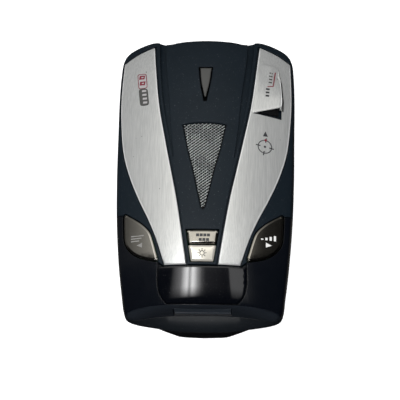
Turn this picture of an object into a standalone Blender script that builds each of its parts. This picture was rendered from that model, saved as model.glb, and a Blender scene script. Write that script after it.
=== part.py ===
"""Radar detector for a windscreen or dashboard, as an assembly of separate pieces.

Frame: +X right, +Y towards the road (front), +Z up. The origin is on the base, under the middle of the
box around the object. Every size below is in millimetres and becomes metres in mesh_object().
"""

import math

import bmesh
import bpy
from mathutils import Matrix, Vector
from mathutils.geometry import delaunay_2d_cdt

MM = 0.001

# Driving dimensions of the case.
TOP_Z = 31.6  # highest point of the top skin, on the centre line
CROWN_RADIUS = 60.0  # the skin's arch from side to side
PROFILE_POWER = 3.5  # how late the skin falls away towards both ends
FRONT_DROP, FRONT_Y = 7.1, 55.5
REAR_DROP, REAR_Y = 8.3, 50.0
PART_Z = 11.0  # parting plane between the upper and lower halves
EDGE_WIDTH = 1.3  # plan width of the rounded upper edge, wider where the rear wall leans
EDGE_STEPS = (0.0, 0.06, 0.22, 0.52, 1.0)  # shares of that width
WALL = 1.8
SKIN = 3.2  # thickness of the top skin outside the trim pockets
GAP = 0.3
WING_SHADOW = 0.45  # extra width of the gap along the wings' inner edges
TRIM = 1.2  # thickness of the trim panels

# Plan outlines, right half, from front to rear.
UPPER_HALF = [
    (0, 57.2), (10, 56.8), (15.2, 56.1), (19.6, 57.8), (23.4, 57.6), (28.3, 56.1), (32.1, 53.9),
    (33.9, 50.6), (34.5, 44.5), (34.8, 34.0), (34.7, 18.0), (34.6, 2.0), (34.0, -16.0),
    (32.7, -33.0), (31.1, -46.0), (30.4, -50.4), (29.1, -52.7), (26.9, -53.7), (23.4, -53.4), (17.5, -52.4),
    (10.5, -51.8), (0, -51.6),
]
LOWER_HALF = UPPER_HALF[:-8] + [
    (31.3, -45.0), (30.8, -49.5), (29.6, -53.0), (26.0, -54.6), (18.5, -55.9), (9.5, -56.9), (0, -57.2),
]
WING_INNER = [(20.8, 54.4), (19.6, 42.5), (17.8, 27.5), (15.0, 12.9), (12.3, -0.1), (9.7, -12.8), (6.0, -35.5)]
WING_OUTER = [
    (14.2, -35.5), (17.3, -26.2), (20.6, -18.4), (24.7, -10.0), (28.7, -0.3), (31.6, 10.1), (33.0, 22.9),
    (33.35, 34.0), (32.9, 48.7),
]
WING_FRONT = [(32.9, 48.7), (28.2, 51.5), (24.2, 53.2), (20.8, 54.4)]
VALLEY = [
    (15.9, 60.0), (15.8, 47.7), (13.9, 30.0), (12.85, 16.8), (11.45, 5.5), (11.85, 5.5), (14.1, 16.8), (16.45, 30.0),
    (18.3, 47.7), (18.8, 60.0),
]
VALLEY_REAR_Y, VALLEY_REAR_DEPTH, VALLEY_SLOPE = 5.5, 0.5, 0.028
SIDE_KEY = [
    (30.2, -15.5), (30.2, -21.0), (29.7, -26.2), (27.8, -29.5), (25.3, -31.6), (22.6, -32.9), (19.6, -33.7),
    (16.8, -33.9), (17.6, -30.3), (18.7, -26.6), (20.1, -23.1), (23.0, -20.0), (25.5, -18.1), (28.1, -16.4),
]
BEZEL_EDGE = [
    (14.9, -35.8), (16.7, -34.5), (18.4, -31.8), (19.5, -28.0), (21.1, -24.2), (23.8, -21.0), (26.4, -19.0),
    (29.0, -17.0), (30.4, -15.7), (37.0, -15.0),
]
SHIELD_HALF = [(16.5, -36.3), (16.7, -41.5), (15.8, -46.0), (13.4, -49.2)]
GRILLE_HALF = [(0, 19.2), (4.5, 19.0), (8.2, 18.4), (6.0, 7.9), (4.0, 0.3), (2.4, -6.9), (0.7, -14.3)]
SOUND_HALF = [(0, 17.8), (6.8, 17.2), (4.7, 7.9), (2.8, 0.3), (1.1, -7.5), (0, -9.0)]
HOOD_LOOP = [
    (17.9, 24.3), (29.6, 27.3), (29.8, 31.0), (29.3, 38.0), (28.2, 45.8), (24.0, 46.6), (20.3, 46.8), (18.9, 33.0),
]
HOOD_MOUTH = [(18.2, 24.3), (29.55, 27.3), (29.45, 23.2)]
HOOD_CAVITY = [(19.4, 24.6), (28.7, 24.2), (28.7, 36.0), (20.8, 36.0), (19.8, 29.0)]
HOOD_START_Y, HOOD_FULL_Y = 46.8, 30.0
HOOD_SLOPE = 0.12  # how much its roof still falls away to the side
HOOD_STEP = 0.6  # the hood's edge stands this proud of the wing where it starts
HOOD_ROOF = 1.0

# Controls.
KEY_GAP = 0.35
SIDE_KEY_SWITCH = (24.5, -25.0)
SAVE_KEY = [(6.0, -23.0), (5.3, -28.25)]
DIM_KEY = [(5.2, -28.75), (4.15, -34.6)]
SAVE_SWITCH_Y, DIM_SWITCH_Y = -25.4, -31.7
KEY_DEPTH = 2.0
WHEEL_X, WHEEL_Y, WHEEL_RADIUS = -27.9, -7.0, 6.4
WHEEL_Z0, WHEEL_Z1 = 11.9, 14.4

# Inside.
BOARD_Z0, BOARD_Z1 = 17.6, 19.2
BOARD_HALF = [(0, 34.0), (28.0, 34.0), (29.3, 20.0), (29.3, -8.0), (27.6, -25.0), (23.5, -38.3), (0, -38.3)]
SLOT_HALF, SLOT_Z0, SLOT_Z1, SLOT_BACK_Y, SLOT_FRONT_Y = 10.5, 15.1, 19.7, 39.2, 56.0
LINER = 1.0
CASE_SCREWS = [(20.5, 38.0), (-20.5, 38.0), (19.0, -41.8), (-19.0, -41.8)]
BOARD_SCREWS = [(24.0, 22.0), (-24.0, 22.0), (13.0, -32.8), (-13.0, -32.8)]
SPEAKER_Y = 5.5
JACK_Y, JACK_Z, JACK_RADIUS = 6.0, 14.5, 2.4
WINDOW_HALF, WINDOW_Z0, WINDOW_Z1 = 10.7, 12.9, 20.3
LENS_X, LENS_Z = (-22.0, -15.0), (13.8, 18.2)
LABEL_X, LABEL_Y = (-13.0, 13.0), (-37.0, -22.0)
HULL = [(0.0, 0.70, 0.85), (0.8, 0.745, 0.875), (2.5, 0.86, 0.93), (7.0, 1.0, 1.0)]
# Rear apron of the hull: height, half width, how far it stands out past the chin, inner y.
APRON = [
    (0.5, 12.2, 0.4, -47.5), (1.3, 13.4, 1.2, -48.5), (4.5, 17.2, 1.0, -52.0), (6.8, 20.3, 0.25, -53.5),
    (8.0, 20.0, -2.2, -53.0),
]
HULL_HOLLOW = [(2.0, 0.66, 0.82), (7.0, 0.94, 0.955)]


def clear_scene():
    for old in list(bpy.data.objects):
        bpy.data.objects.remove(old)


# ---------------------------------------------------------------- plan curves and heights


def mirrored(half):
    """A closed loop from its right half, which runs from the centre line and back to it."""
    left = [(-x, y) for x, y in reversed(half) if abs(x) > 1e-6]
    return list(half) + left


def flipped(loop):
    """The same loop on the left side, still in the same turning direction."""
    return [(-x, y) for x, y in reversed(loop)]


def spline(points, closed, step):
    """Points about step apart on a Catmull-Rom curve through the given ones."""
    count = len(points)
    made = []
    for i in range(count if closed else count - 1):
        if closed:
            p0, p1, p2, p3 = (Vector(points[(i + k) % count]) for k in (-1, 0, 1, 2))
        else:
            p1, p2 = Vector(points[i]), Vector(points[i + 1])
            p0 = Vector(points[i - 1]) if i else p1 * 2 - p2
            p3 = Vector(points[i + 2]) if i + 2 < count else p2 * 2 - p1
        pieces = max(1, round((p2 - p1).length / step))
        for k in range(pieces):
            t = k / pieces
            a = p1 * 2
            b = p2 - p0
            c = p0 * 2 - p1 * 5 + p2 * 4 - p3
            d = p1 * 3 - p0 - p2 * 3 + p3
            made.append(tuple((a + b * t + c * t * t + d * t * t * t) / 2))
    if not closed:
        made.append(tuple(points[-1]))
    return made


def area(loop):
    return sum(a[0] * b[1] - b[0] * a[1] for a, b in zip(loop, loop[1:] + loop[:1])) / 2


def edge_width(x, y):
    """The rounded edge's plan width: the rear wall leans forwards towards its corners."""
    lean = max(0.0, min(1.0, (-44.0 - y) / 5.0))
    return EDGE_WIDTH + lean * (0.3 + 2.3 * min(1.0, abs(x) / 24.0) ** 2 * max(0.0, 1 - max(0.0, abs(x) - 26) / 4.5))


def offset(loop, distance):
    """The loop moved inwards by distance (outwards if negative), with mitred corners.
    """
    side = 1 if area(loop) > 0 else -1
    made = []
    for i, p in enumerate(loop):
        before = (Vector(p) - Vector(loop[i - 1])).normalized()
        after = (Vector(loop[(i + 1) % len(loop)]) - Vector(p)).normalized()
        normal = Vector((-before.y - after.y, before.x + after.x)).normalized()
        stretch = max(0.35, normal.dot(Vector((-before.y, before.x))))
        reach = distance(*p) if callable(distance) else distance
        made.append(tuple(Vector(p) + normal * (side * reach / stretch)))
    return made


def inside(x, y, loop):
    hit = False
    for (x0, y0), (x1, y1) in zip(loop, loop[1:] + loop[:1]):
        if (y0 > y) != (y1 > y) and x < (x1 - x0) * (y - y0) / (y1 - y0) + x0:
            hit = not hit
    return hit


def between(rail, y):
    """x on a line of points that runs from front to rear."""
    for (x0, y0), (x1, y1) in zip(rail, rail[1:]):
        if y1 <= y <= y0:
            return x0 + (x1 - x0) * (y0 - y) / (y0 - y1)
    return rail[0][0] if y > rail[0][1] else rail[-1][0]


def skin(x, y):
    """Height of the case's top skin."""
    drop, end = (FRONT_DROP, FRONT_Y) if y > 0 else (REAR_DROP, REAR_Y)
    crown = CROWN_RADIUS - math.sqrt(CROWN_RADIUS**2 - x * x)
    return TOP_Z - drop * (abs(y) / end) ** PROFILE_POWER - crown


def skin_less(depth):
    return lambda x, y: skin(x, y) - depth


def hood_roof(x, y):
    """Height of the hood over the rear laser sensor: level where the wing falls away."""
    root = between(WING_INNER, y) + 0.25
    rise = min(1.0, max(0.0, (HOOD_START_Y - y) / (HOOD_START_Y - HOOD_FULL_Y)))
    rise = rise * rise * (3 - 2 * rise)
    level = skin(root, y) - HOOD_SLOPE * (x - root)
    step = HOOD_STEP * min(1.0, max(0.0, (x - root - 1.5) / 4.0))
    return skin(x, y) + max(step, rise * (level - skin(x, y)))


# ---------------------------------------------------------------- materials


def material(name, colour, roughness, metallic=0.0, alpha=1.0):
    made = bpy.data.materials.new(name)
    made.use_nodes = True
    shader = made.node_tree.nodes["Principled BSDF"]
    shader.inputs["Base Color"].default_value = (*colour, 1.0)
    shader.inputs["Roughness"].default_value = roughness
    shader.inputs["Metallic"].default_value = metallic
    shader.inputs["Alpha"].default_value = alpha
    return made


def palette():
    return {
        "soft_black": material("soft_black", (0.022, 0.028, 0.036), 0.55),
        "gloss_black": material("gloss_black", (0.008, 0.009, 0.012), 0.12),
        "brushed_silver": material("brushed_silver", (0.62, 0.63, 0.62), 0.36, 0.9),
        "chrome": material("chrome", (0.80, 0.78, 0.74), 0.06, 1.0),
        "grille_metal": material("grille_metal", (0.45, 0.45, 0.43), 0.35, 0.9),
        "grey_plastic": material("grey_plastic", (0.20, 0.20, 0.19), 0.45),
        "smoked_lens": material("smoked_lens", (0.02, 0.015, 0.02), 0.05, 0.0, 0.8),
        "board_green": material("board_green", (0.03, 0.16, 0.07), 0.5),
        "cast_metal": material("cast_metal", (0.55, 0.55, 0.56), 0.4, 0.9),
        "tin_plate": material("tin_plate", (0.70, 0.70, 0.69), 0.28, 1.0),
        "component_black": material("component_black", (0.03, 0.03, 0.03), 0.4),
        "paper_cone": material("paper_cone", (0.05, 0.05, 0.05), 0.85),
        "ferrite": material("ferrite", (0.09, 0.09, 0.10), 0.6),
        "zinc_screw": material("zinc_screw", (0.60, 0.60, 0.62), 0.3, 1.0),
        "label_film": material("label_film", (0.70, 0.70, 0.68), 0.5),
        "flex_amber": material("flex_amber", (0.45, 0.22, 0.05), 0.35),
    }


# ---------------------------------------------------------------- solids


def mesh_object(name, points, faces, paint=None):
    mesh = bpy.data.meshes.new(name)
    mesh.from_pydata([Vector(p) * MM for p in points], [], faces)
    build = bmesh.new()
    build.from_mesh(mesh)
    bmesh.ops.recalc_face_normals(build, faces=build.faces)
    build.to_mesh(mesh)
    build.free()
    made = bpy.data.objects.new(name, mesh)
    bpy.context.scene.collection.objects.link(made)
    if paint is None:
        made.hide_render = True
        made.display_type = "WIRE"
    else:
        mesh.materials.append(paint)
    return made


def prism(name, loop, z0, z1, paint=None):
    count = len(loop)
    points = [(x, y, z0) for x, y in loop] + [(x, y, z1) for x, y in loop]
    faces = [tuple(range(count)), tuple(range(count, 2 * count))]
    faces += [(i, (i + 1) % count, count + (i + 1) % count, count + i) for i in range(count)]
    return mesh_object(name, points, faces, paint)


def box(name, x, y, z, paint=None):
    """A box from its (low, high) ranges."""
    return prism(name, [(x[0], y[0]), (x[1], y[0]), (x[1], y[1]), (x[0], y[1])], z[0], z[1], paint)


def along_x(name, profile, x, paint=None):
    """A (y, z) profile extruded over a range of x."""
    count = len(profile)
    points = [(x[0], y, z) for y, z in profile] + [(x[1], y, z) for y, z in profile]
    faces = [tuple(range(count)), tuple(range(count, 2 * count))]
    faces += [(i, (i + 1) % count, count + (i + 1) % count, count + i) for i in range(count)]
    return mesh_object(name, points, faces, paint)


def turned(name, profile, centre, axis="Z", sides=24, paint=None):
    """A solid of revolution from (radius, height) pairs, closed on its axis at both ends."""
    turn = {"Z": Matrix.Identity(3), "X": Matrix.Rotation(math.pi / 2, 3, "Y")}
    turn["Y"] = Matrix.Rotation(-math.pi / 2, 3, "X")
    points = []
    for radius, height in profile:
        for i in range(sides):
            angle = math.tau * (i + 0.5) / sides
            points.append(Vector((radius * math.cos(angle), radius * math.sin(angle), height)))
    faces = [tuple(range(sides)), tuple(range((len(profile) - 1) * sides, len(profile) * sides))]
    for row in range(len(profile) - 1):
        for i in range(sides):
            a, b = row * sides + i, row * sides + (i + 1) % sides
            faces.append((a, b, b + sides, a + sides))
    placed = [turn[axis] @ p + Vector(centre) for p in points]
    return mesh_object(name, placed, faces, paint)


def disc(name, radius, centre, z0, z1, axis="Z", sides=24, paint=None):
    return turned(name, [(radius, z0), (radius, z1)], centre, axis, sides, paint)


def ring_wall(name, outer, inner, centre, z0, z1, sides=24, paint=None):
    """A tube: a turned section that closes on itself away from the axis."""
    points = []
    for radius, height in ((outer, z0), (outer, z1), (inner, z1), (inner, z0)):
        for i in range(sides):
            angle = math.tau * (i + 0.5) / sides
            points.append((centre[0] + radius * math.cos(angle), centre[1] + radius * math.sin(angle), height))
    faces = []
    for row in range(4):
        for i in range(sides):
            a, b = row * sides + i, row * sides + (i + 1) % sides
            c, d = ((row + 1) % 4) * sides + (i + 1) % sides, ((row + 1) % 4) * sides + i
            faces.append((a, b, c, d))
    return mesh_object(name, points, faces, paint)


def plate(name, loop, top, bottom, paint=None, cell=8.0, edges=None):
    """A closed solid between two height functions over a plan outline.

    With edges, a list of shares of the edge's width, the outline is repeated inwards at each, and the
    top falls along them from its own height to the bottom as a quarter of an ellipse.
    """
    loops = [offset(loop, lambda x, y: d * edge_width(x, y)) for d in edges] if edges else [loop]
    flat = [p for ring in loops for p in ring]
    depth = [d for d in (edges or [1.0]) for _ in loop]
    core = offset(loops[-1], cell * 0.35)
    xs, ys = [p[0] for p in core], [p[1] for p in core]
    columns, rows = math.ceil((max(xs) - min(xs)) / cell), math.ceil((max(ys) - min(ys)) / cell)
    for j in range(rows + 1):
        for i in range(columns + 1):
            x = min(xs) + (max(xs) - min(xs)) * i / max(columns, 1)
            y = min(ys) + (max(ys) - min(ys)) * j / max(rows, 1)
            if inside(x, y, core):
                flat.append((x, y))
                depth.append(1.0)
    fixed = []
    for r in range(len(loops)):
        first = r * len(loop)
        fixed += [(first + i, first + (i + 1) % len(loop)) for i in range(len(loop))]
    found = delaunay_2d_cdt([Vector(p) for p in flat], fixed, [], 0, 1e-6)
    verts, origins = found[0], found[3]
    faces = [f for f in found[2] if inside(*(sum((verts[i] for i in f), Vector((0, 0))) / 3), loop)]
    points = []
    for v, origin in zip(verts, origins):
        share = 1.0
        if edges and origin:
            share = math.sqrt(max(0.0, 1 - (1 - depth[origin[0]]) ** 2))
        low = bottom(v.x, v.y)
        points.append((v.x, v.y, low + (top(v.x, v.y) - low) * share))
    count = len(verts)
    points += [(v.x, v.y, bottom(v.x, v.y)) for v in verts]
    rim_points = {i for i, origin in enumerate(origins) if origin and origin[0] < len(loop)}
    sides = {}
    for f in faces:
        for a, b in zip(f, f[1:] + f[:1]):
            sides[(a, b)] = sides.get((a, b), 0) + 1
    rim = [(a, b) for a, b in sides if (b, a) not in sides and a in rim_points and b in rim_points]
    if edges:
        # The top meets the parting plane at the outline, so both faces share the rim's points.
        low_of = {i: (i if i in rim_points else count + i) for i in range(count)}
        solid = list(faces) + [tuple(low_of[i] for i in reversed(f)) for f in faces]
    else:
        solid = list(faces) + [tuple(count + i for i in reversed(f)) for f in faces]
        solid += [(b, a, count + a, count + b) for a, b in rim]
    used = sorted({i for f in solid for i in f})
    renumber = {old: new for new, old in enumerate(used)}
    return mesh_object(name, [points[i] for i in used], [tuple(renumber[i] for i in f) for f in solid], paint)


def boolean(target, tool, operation):
    change = target.modifiers.new(f"{operation.lower()}_{tool.name}", "BOOLEAN")
    change.operation = operation
    change.object = tool
    change.solver = "EXACT"
    return target


def cut(target, *tools):
    for tool in tools:
        boolean(target, tool, "DIFFERENCE")
    return target


def join(target, *tools):
    for tool in tools:
        boolean(target, tool, "UNION")
    return target


def keep(target, tool):
    return boolean(target, tool, "INTERSECT")


# ---------------------------------------------------------------- outlines used by several pieces


def upper_loop():
    return spline(mirrored(UPPER_HALF), True, 5.0)


def lower_loop():
    return spline(mirrored(LOWER_HALF), True, 5.0)


def wing_loop():
    inner = spline(WING_INNER, False, 8.0)
    outer = spline(WING_OUTER, False, 8.0)
    front = spline(WING_FRONT, False, 6.0)
    return inner + outer[:-1] + front[:-1]


def side_key_loop():
    return spline(SIDE_KEY, True, 3.5)


def bezel_region(shift):
    """Plan of everything that belongs to the rear bezel; shift moves its front edge forwards."""
    right = [(0.0, BEZEL_EDGE[0][1] + shift)] + [(x - shift * 0.6, y + shift) for x, y in BEZEL_EDGE]
    right.append((BEZEL_EDGE[-1][0], -60.0))
    return mirrored(right + [(0.0, -60.0)])


def shield_loop():
    right = spline(SHIELD_HALF, False, 4.0)
    return right + [(-x, y) for x, y in reversed(right)]


def trapezoid(key):
    (wide, front), (narrow, rear) = key
    return [(-wide, front), (wide, front), (narrow, rear), (-narrow, rear)]


def release_loop(grow):
    right = [(2.35 + grow, 43.0 + grow * 0.4), (1.68 + grow, 36.5), (0.42 + grow * 1.2, 30.4)]
    right.append((0.2 + grow * 0.9, 29.9 - grow * 3.4))
    return right + [(-x, y) for x, y in reversed(right)]


def resampled(loop, count):
    """The closed loop as count points evenly spaced along it from its first point."""
    lengths = [0.0]
    for a, b in zip(loop, loop[1:] + loop[:1]):
        lengths.append(lengths[-1] + math.dist(a, b))
    made = []
    k = 0
    for i in range(count):
        at = lengths[-1] * i / count
        while lengths[k + 1] < at:
            k += 1
        t = (at - lengths[k]) / (lengths[k + 1] - lengths[k])
        a, b = loop[k], loop[(k + 1) % len(loop)]
        made.append((a[0] + (b[0] - a[0]) * t, a[1] + (b[1] - a[1]) * t))
    return made


def loft(name, sections, paint=None):
    """A solid through (z, loop) sections that all have the same number of points."""
    count = len(sections[0][1])
    points = [(x, y, z) for z, loop in sections for x, y in loop]
    faces = [tuple(range(count)), tuple(range(count * (len(sections) - 1), count * len(sections)))]
    for row in range(len(sections) - 1):
        for i in range(count):
            a, b = row * count + i, row * count + (i + 1) % count
            faces.append((a, b, b + count, a + count))
    return mesh_object(name, points, faces, paint)


def scaled(loop, sx, sy):
    return [(x * sx, y * sy) for x, y in loop]


def smooth(*pieces):
    for piece in pieces:
        for polygon in piece.data.polygons:
            polygon.use_smooth = True
        piece.data.set_sharp_from_angle(angle=math.radians(32))
    return pieces[0]


def set_origin(piece, point):
    """Moves the piece's own origin, here to its joint's axis, without moving its shape."""
    where = Vector(point) * MM
    piece.data.transform(Matrix.Translation(-where))
    piece.location = where
    return piece


# ---------------------------------------------------------------- the case


def upper_shell(name, paint):
    """The hollow upper half before it is divided into front cover and rear bezel."""
    shell = plate(name, upper_loop(), skin, lambda x, y: PART_Z + GAP / 2, paint, 8.0, EDGE_STEPS)
    room = offset(upper_loop(), WALL + 0.4)
    return cut(shell, plate(f"{name}_room", room, skin_less(SKIN), lambda x, y: PART_Z - 1.0, None, 9.0))


def pocket(name, loop, depth, cell=7.0):
    """A cutter from depth below the skin to well above it."""
    return plate(name, loop, lambda x, y: TOP_Z + 4.0, skin_less(depth), None, cell)


def wing_pocket_loop():
    """The wing's outline with its gap, which is wider along the inner edge and open to the rear."""
    grown = offset(wing_loop(), -GAP)
    inner = len(spline(WING_INNER, False, 8.0))
    grown = [(x - (WING_SHADOW if i < inner else 0.0), y) for i, (x, y) in enumerate(grown)]
    return [(x, y if y > -35.0 else -37.0) for x, y in grown]


def add_bosses(shell, name, spots, radius, bottom, hole, hole_depth):
    for k, (x, y) in enumerate(spots):
        top = skin(abs(x) + radius, y) - SKIN + 0.6
        join(shell, disc(f"{name}_boss_{k}", radius, (x, y, 0), bottom, top, sides=16))
        cut(shell, disc(f"{name}_pilot_{k}", hole, (x, y, 0), bottom - 1.0, bottom + hole_depth, sides=16))


def valley_depth(y):
    return VALLEY_REAR_DEPTH + VALLEY_SLOPE * max(0.0, y - VALLEY_REAR_Y)


def valley_floor(x, y):
    return skin(x, y) - valley_depth(y)


def upper_case(paint):
    shell = upper_shell("upper_case", paint)
    cut(shell, prism("bezel_side", bezel_region(GAP / 2), 0.0, 45.0))
    for side, turn in (("right", list), ("left", flipped)):
        cut(shell, pocket(f"{side}_wing_pocket", turn(wing_pocket_loop()), TRIM + GAP))
        cut(shell, plate(f"{side}_valley", turn(VALLEY), lambda x, y: 40.0, valley_floor, None, 7.0))
        cut(shell, prism(f"{side}_key_gap", offset(turn(side_key_loop()), -KEY_GAP), 12.0, 40.0))
    key_hole = [(-6.4, -22.65), (6.4, -22.65), (4.5, -34.95), (-4.5, -34.95)]
    cut(shell, prism("centre_key_hole", key_hole, 20.0, 40.0))
    cut(shell, prism("release_hole", release_loop(0.5), 20.0, 40.0))
    cut(shell, pocket("grille_pocket", offset(mirrored(GRILLE_HALF), -GAP), 1.35))
    cut(shell, prism("sound_opening", mirrored(SOUND_HALF), 24.0, 40.0))
    cut(shell, box("slot_hole", (-11.8, 11.8), (50.0, 60.0), (SLOT_Z0 - 1.35, SLOT_Z1 + 1.35)))
    cut(shell, box("lens_hole", (LENS_X[0] - GAP, LENS_X[1] + GAP), (50.0, 60.0), (LENS_Z[0] - GAP, LENS_Z[1] + GAP)))
    cut(shell, box("wheel_slot", (-38.0, -29.0), (WHEEL_Y - 5.5, WHEEL_Y + 5.5), (10.0, WHEEL_Z1 + GAP)))
    cut(shell, disc("jack_hole", JACK_RADIUS + GAP, (0, JACK_Y, JACK_Z), 29.0, 38.0, "X"))
    add_bosses(shell, "front", CASE_SCREWS[:2], 2.7, PART_Z + 0.4, 1.4, 5.0)
    add_bosses(shell, "board", BOARD_SCREWS, 2.2, BOARD_Z1 + GAP, 1.2, 2.6)
    weld = shell.modifiers.new("weld", "WELD")
    weld.merge_threshold = 0.003 * MM
    return shell


def rear_bezel(paint):
    shell = upper_shell("rear_bezel", paint)
    keep(shell, prism("front_cover_side", bezel_region(-GAP / 2), 0.0, 45.0))
    for side, turn in (("right", list), ("left", flipped)):
        cut(shell, prism(f"{side}_bezel_key_gap", offset(turn(side_key_loop()), -KEY_GAP), 12.0, 40.0))
    grown = [(x, y if y < -37.0 else -35.0) for x, y in offset(shield_loop(), -GAP)]
    cut(shell, pocket("shield_pocket", grown, TRIM + GAP))
    room = (WINDOW_Z0 - GAP, WINDOW_Z1 + GAP)
    cut(shell, box("window_hole", (-WINDOW_HALF - GAP, WINDOW_HALF + GAP), (-58.0, -47.5), room))
    add_bosses(shell, "rear", CASE_SCREWS[2:], 2.7, PART_Z + 0.4, 1.4, 4.0)
    return shell


def chin_apron(count):
    """The low middle part of the hull that stands out to the rear under the chin."""
    chin = [(x, y) for x, y in reversed(LOWER_HALF[-7:])]
    sections = []
    for z, half, out, front in APRON:
        loop = [(half, front), (-half, front)]
        for k in range(count + 1):
            u = 2.0 * k / count - 1.0
            x = abs(u) * half
            a, b = next((a, b) for a, b in zip(chin, chin[1:]) if x <= b[0])
            y = a[1] + (b[1] - a[1]) * (x - a[0]) / (b[0] - a[0])
            loop.append((u * half, y - out * (1.0 - u**6) + (0.8 * u**6 if out > 0 else 0.0)))
        sections.append((z, loop))
    return loft("chin_apron", sections)


def lower_case(paint):
    top = resampled(upper_loop(), 64)
    edge = resampled(lower_loop(), 64)
    hull = [(z, scaled(edge, sx, sy)) for z, sx, sy in HULL] + [(PART_Z - GAP / 2, top)]
    room = [(z, scaled(edge, sx, sy)) for z, sx, sy in HULL_HOLLOW] + [(PART_Z + 1.0, scaled(top, 0.93, 0.915))]
    shell = cut(loft("lower_case", hull, paint), loft("lower_room", room))
    join(shell, chin_apron(14))
    for k, (x, y) in enumerate(CASE_SCREWS):
        join(shell, disc(f"lower_boss_{k}", 3.1, (x, y, 0), 1.0, PART_Z - GAP / 2 - 0.3, sides=16))
        cut(shell, turned(f"lower_hole_{k}", [(2.5, -1), (2.5, 2.3), (1.4, 2.3), (1.4, 14)], (x, y, 0), sides=16))
    room = ((LABEL_X[0] - GAP, LABEL_X[1] + GAP), (LABEL_Y[0] - GAP, LABEL_Y[1] + GAP), (-1.0, 0.5))
    return cut(shell, box("label_recess", *room))


def wing(name, loop, paint):
    return plate(name, loop, skin, skin_less(TRIM), paint, 6.0)


def right_wing(paint):
    panel = wing("right_wing", wing_loop(), paint)
    join(panel, plate("hood_body", HOOD_LOOP, hood_roof, skin_less(0.6), None, 3.0))
    cut(panel, prism("hood_mouth", HOOD_MOUTH, 15.0, 40.0))
    roof = lambda x, y: hood_roof(x, y) - HOOD_ROOF
    return cut(panel, plate("hood_cavity", HOOD_CAVITY, roof, skin_less(3.0), None, 3.0))


def hood_inside(name, loop, rise, slope, paint):
    """A piece on the pocket's floor under the hood; its top slopes up from the rear, clear of the roof."""
    rear = min(y for x, y in loop)
    top = lambda x, y: min(hood_roof(x, y) - HOOD_ROOF - 0.6, skin(x, y) + rise + slope * (y - rear))
    return plate(name, loop, top, skin_less(TRIM), paint, 2.5)


def speaker_grille(paint):
    outline = mirrored(GRILLE_HALF)
    sheet = plate("speaker_grille", outline, skin_less(0.15), skin_less(1.05), paint, 5.0)
    limit = offset(outline, 1.3)
    points, faces = [], []
    for k in range(16):
        start = -26.0 + 3.0 * k
        run = [(x / 10, start + x / 10) for x in range(-90, 91) if inside(x / 10, start + x / 10, limit)]
        if len(run) > 12:
            (x0, y0), (x1, y1) = run[0], run[-1]
            base = len(points)
            corners = [(x0 + 0.5, y0 - 0.5), (x1 + 0.5, y1 - 0.5), (x1 - 0.5, y1 + 0.5), (x0 - 0.5, y0 + 0.5)]
            points += [(x, y, z) for z in (25.0, 35.0) for x, y in corners]
            faces += [tuple(base + i for i in f) for f in ((0, 1, 2, 3), (4, 5, 6, 7))]
            faces += [(base + i, base + (i + 1) % 4, base + 4 + (i + 1) % 4, base + 4 + i) for i in range(4)]
    return cut(sheet, mesh_object("grille_slots", points, faces))


# ---------------------------------------------------------------- controls


def key(name, loop, switch, paint):
    """A key cap that follows the skin, with a post down to its switch."""
    cap = plate(name, loop, skin_less(-0.15), skin_less(KEY_DEPTH), paint, 3.5)
    x, y = switch
    join(cap, disc(f"{name}_post", 1.2, (x, y, 0), 22.3, skin(x, y) - KEY_DEPTH + 0.5, sides=16))
    return set_origin(cap, (x, y, 22.3))


def tact_switch(name, spot, paint):
    x, y = spot
    body = box(name, (x - 2.25, x + 2.25), (y - 2.25, y + 2.25), (BOARD_Z1 + 0.05, 20.8), paint)
    return cut(body, disc(f"{name}_well", 1.6, (x, y, 0), 19.6, 25.0, sides=20))


def plunger(name, spot, paint):
    piece = smooth(disc(name, 1.3, (*spot, 0), 20.4, 22.2, sides=16, paint=paint))
    return set_origin(piece, (*spot, 20.4))


def release_button(paint):
    cap = plate("release_button", release_loop(0.0), skin_less(0.2), skin_less(2.4), paint, 4.0)
    z = SLOT_Z0
    hook = [
        (36.2, 27.4), (36.2, z - 3.0), (44.0, z - 3.0), (44.0, z + 0.3), (42.4, z + 1.5), (42.0, z + 1.5),
        (42.0, z - 1.4), (37.8, z - 1.4), (37.8, 27.4),
    ]
    join(cap, along_x("release_hook", hook, (-1.2, 1.2)))
    return set_origin(cap, (0, 37.0, z - 3.0))


def release_spring(paint):
    """Compression coil between the slot's roof and the release button."""
    low, high, turns, coil, wire = SLOT_Z1 + LINER + 0.5, 26.3, 4, 1.3, 0.25
    steps, sides = 14 * turns, 6
    points = []
    for k in range(steps + 1):
        angle = math.tau * k * turns / steps
        centre = Vector((coil * math.cos(angle), 41.2 + coil * math.sin(angle), low + (high - low) * k / steps))
        outward = Vector((math.cos(angle), math.sin(angle), 0))
        for i in range(sides):
            around = math.tau * i / sides
            points.append(centre + outward * (wire * math.cos(around)) + Vector((0, 0, wire * math.sin(around))))
    faces = [tuple(range(sides)), tuple(range(steps * sides, (steps + 1) * sides))]
    for k in range(steps):
        for i in range(sides):
            a, b = k * sides + i, k * sides + (i + 1) % sides
            faces.append((a, b, b + sides, a + sides))
    return smooth(mesh_object("release_spring", points, faces, paint))


def volume_wheel(paint):
    loop = []
    for k in range(60):
        angle = math.tau * k / 60
        radius = WHEEL_RADIUS if k % 2 else WHEEL_RADIUS - 0.3
        loop.append((WHEEL_X + radius * math.cos(angle), WHEEL_Y + radius * math.sin(angle)))
    rim = prism("volume_wheel", loop, WHEEL_Z0, WHEEL_Z1, paint)
    join(rim, disc("wheel_shaft", 1.4, (WHEEL_X, WHEEL_Y, 0), WHEEL_Z1 - 0.6, 16.4, sides=16))
    return set_origin(rim, (WHEEL_X, WHEEL_Y, WHEEL_Z0))


# ---------------------------------------------------------------- inside


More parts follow.
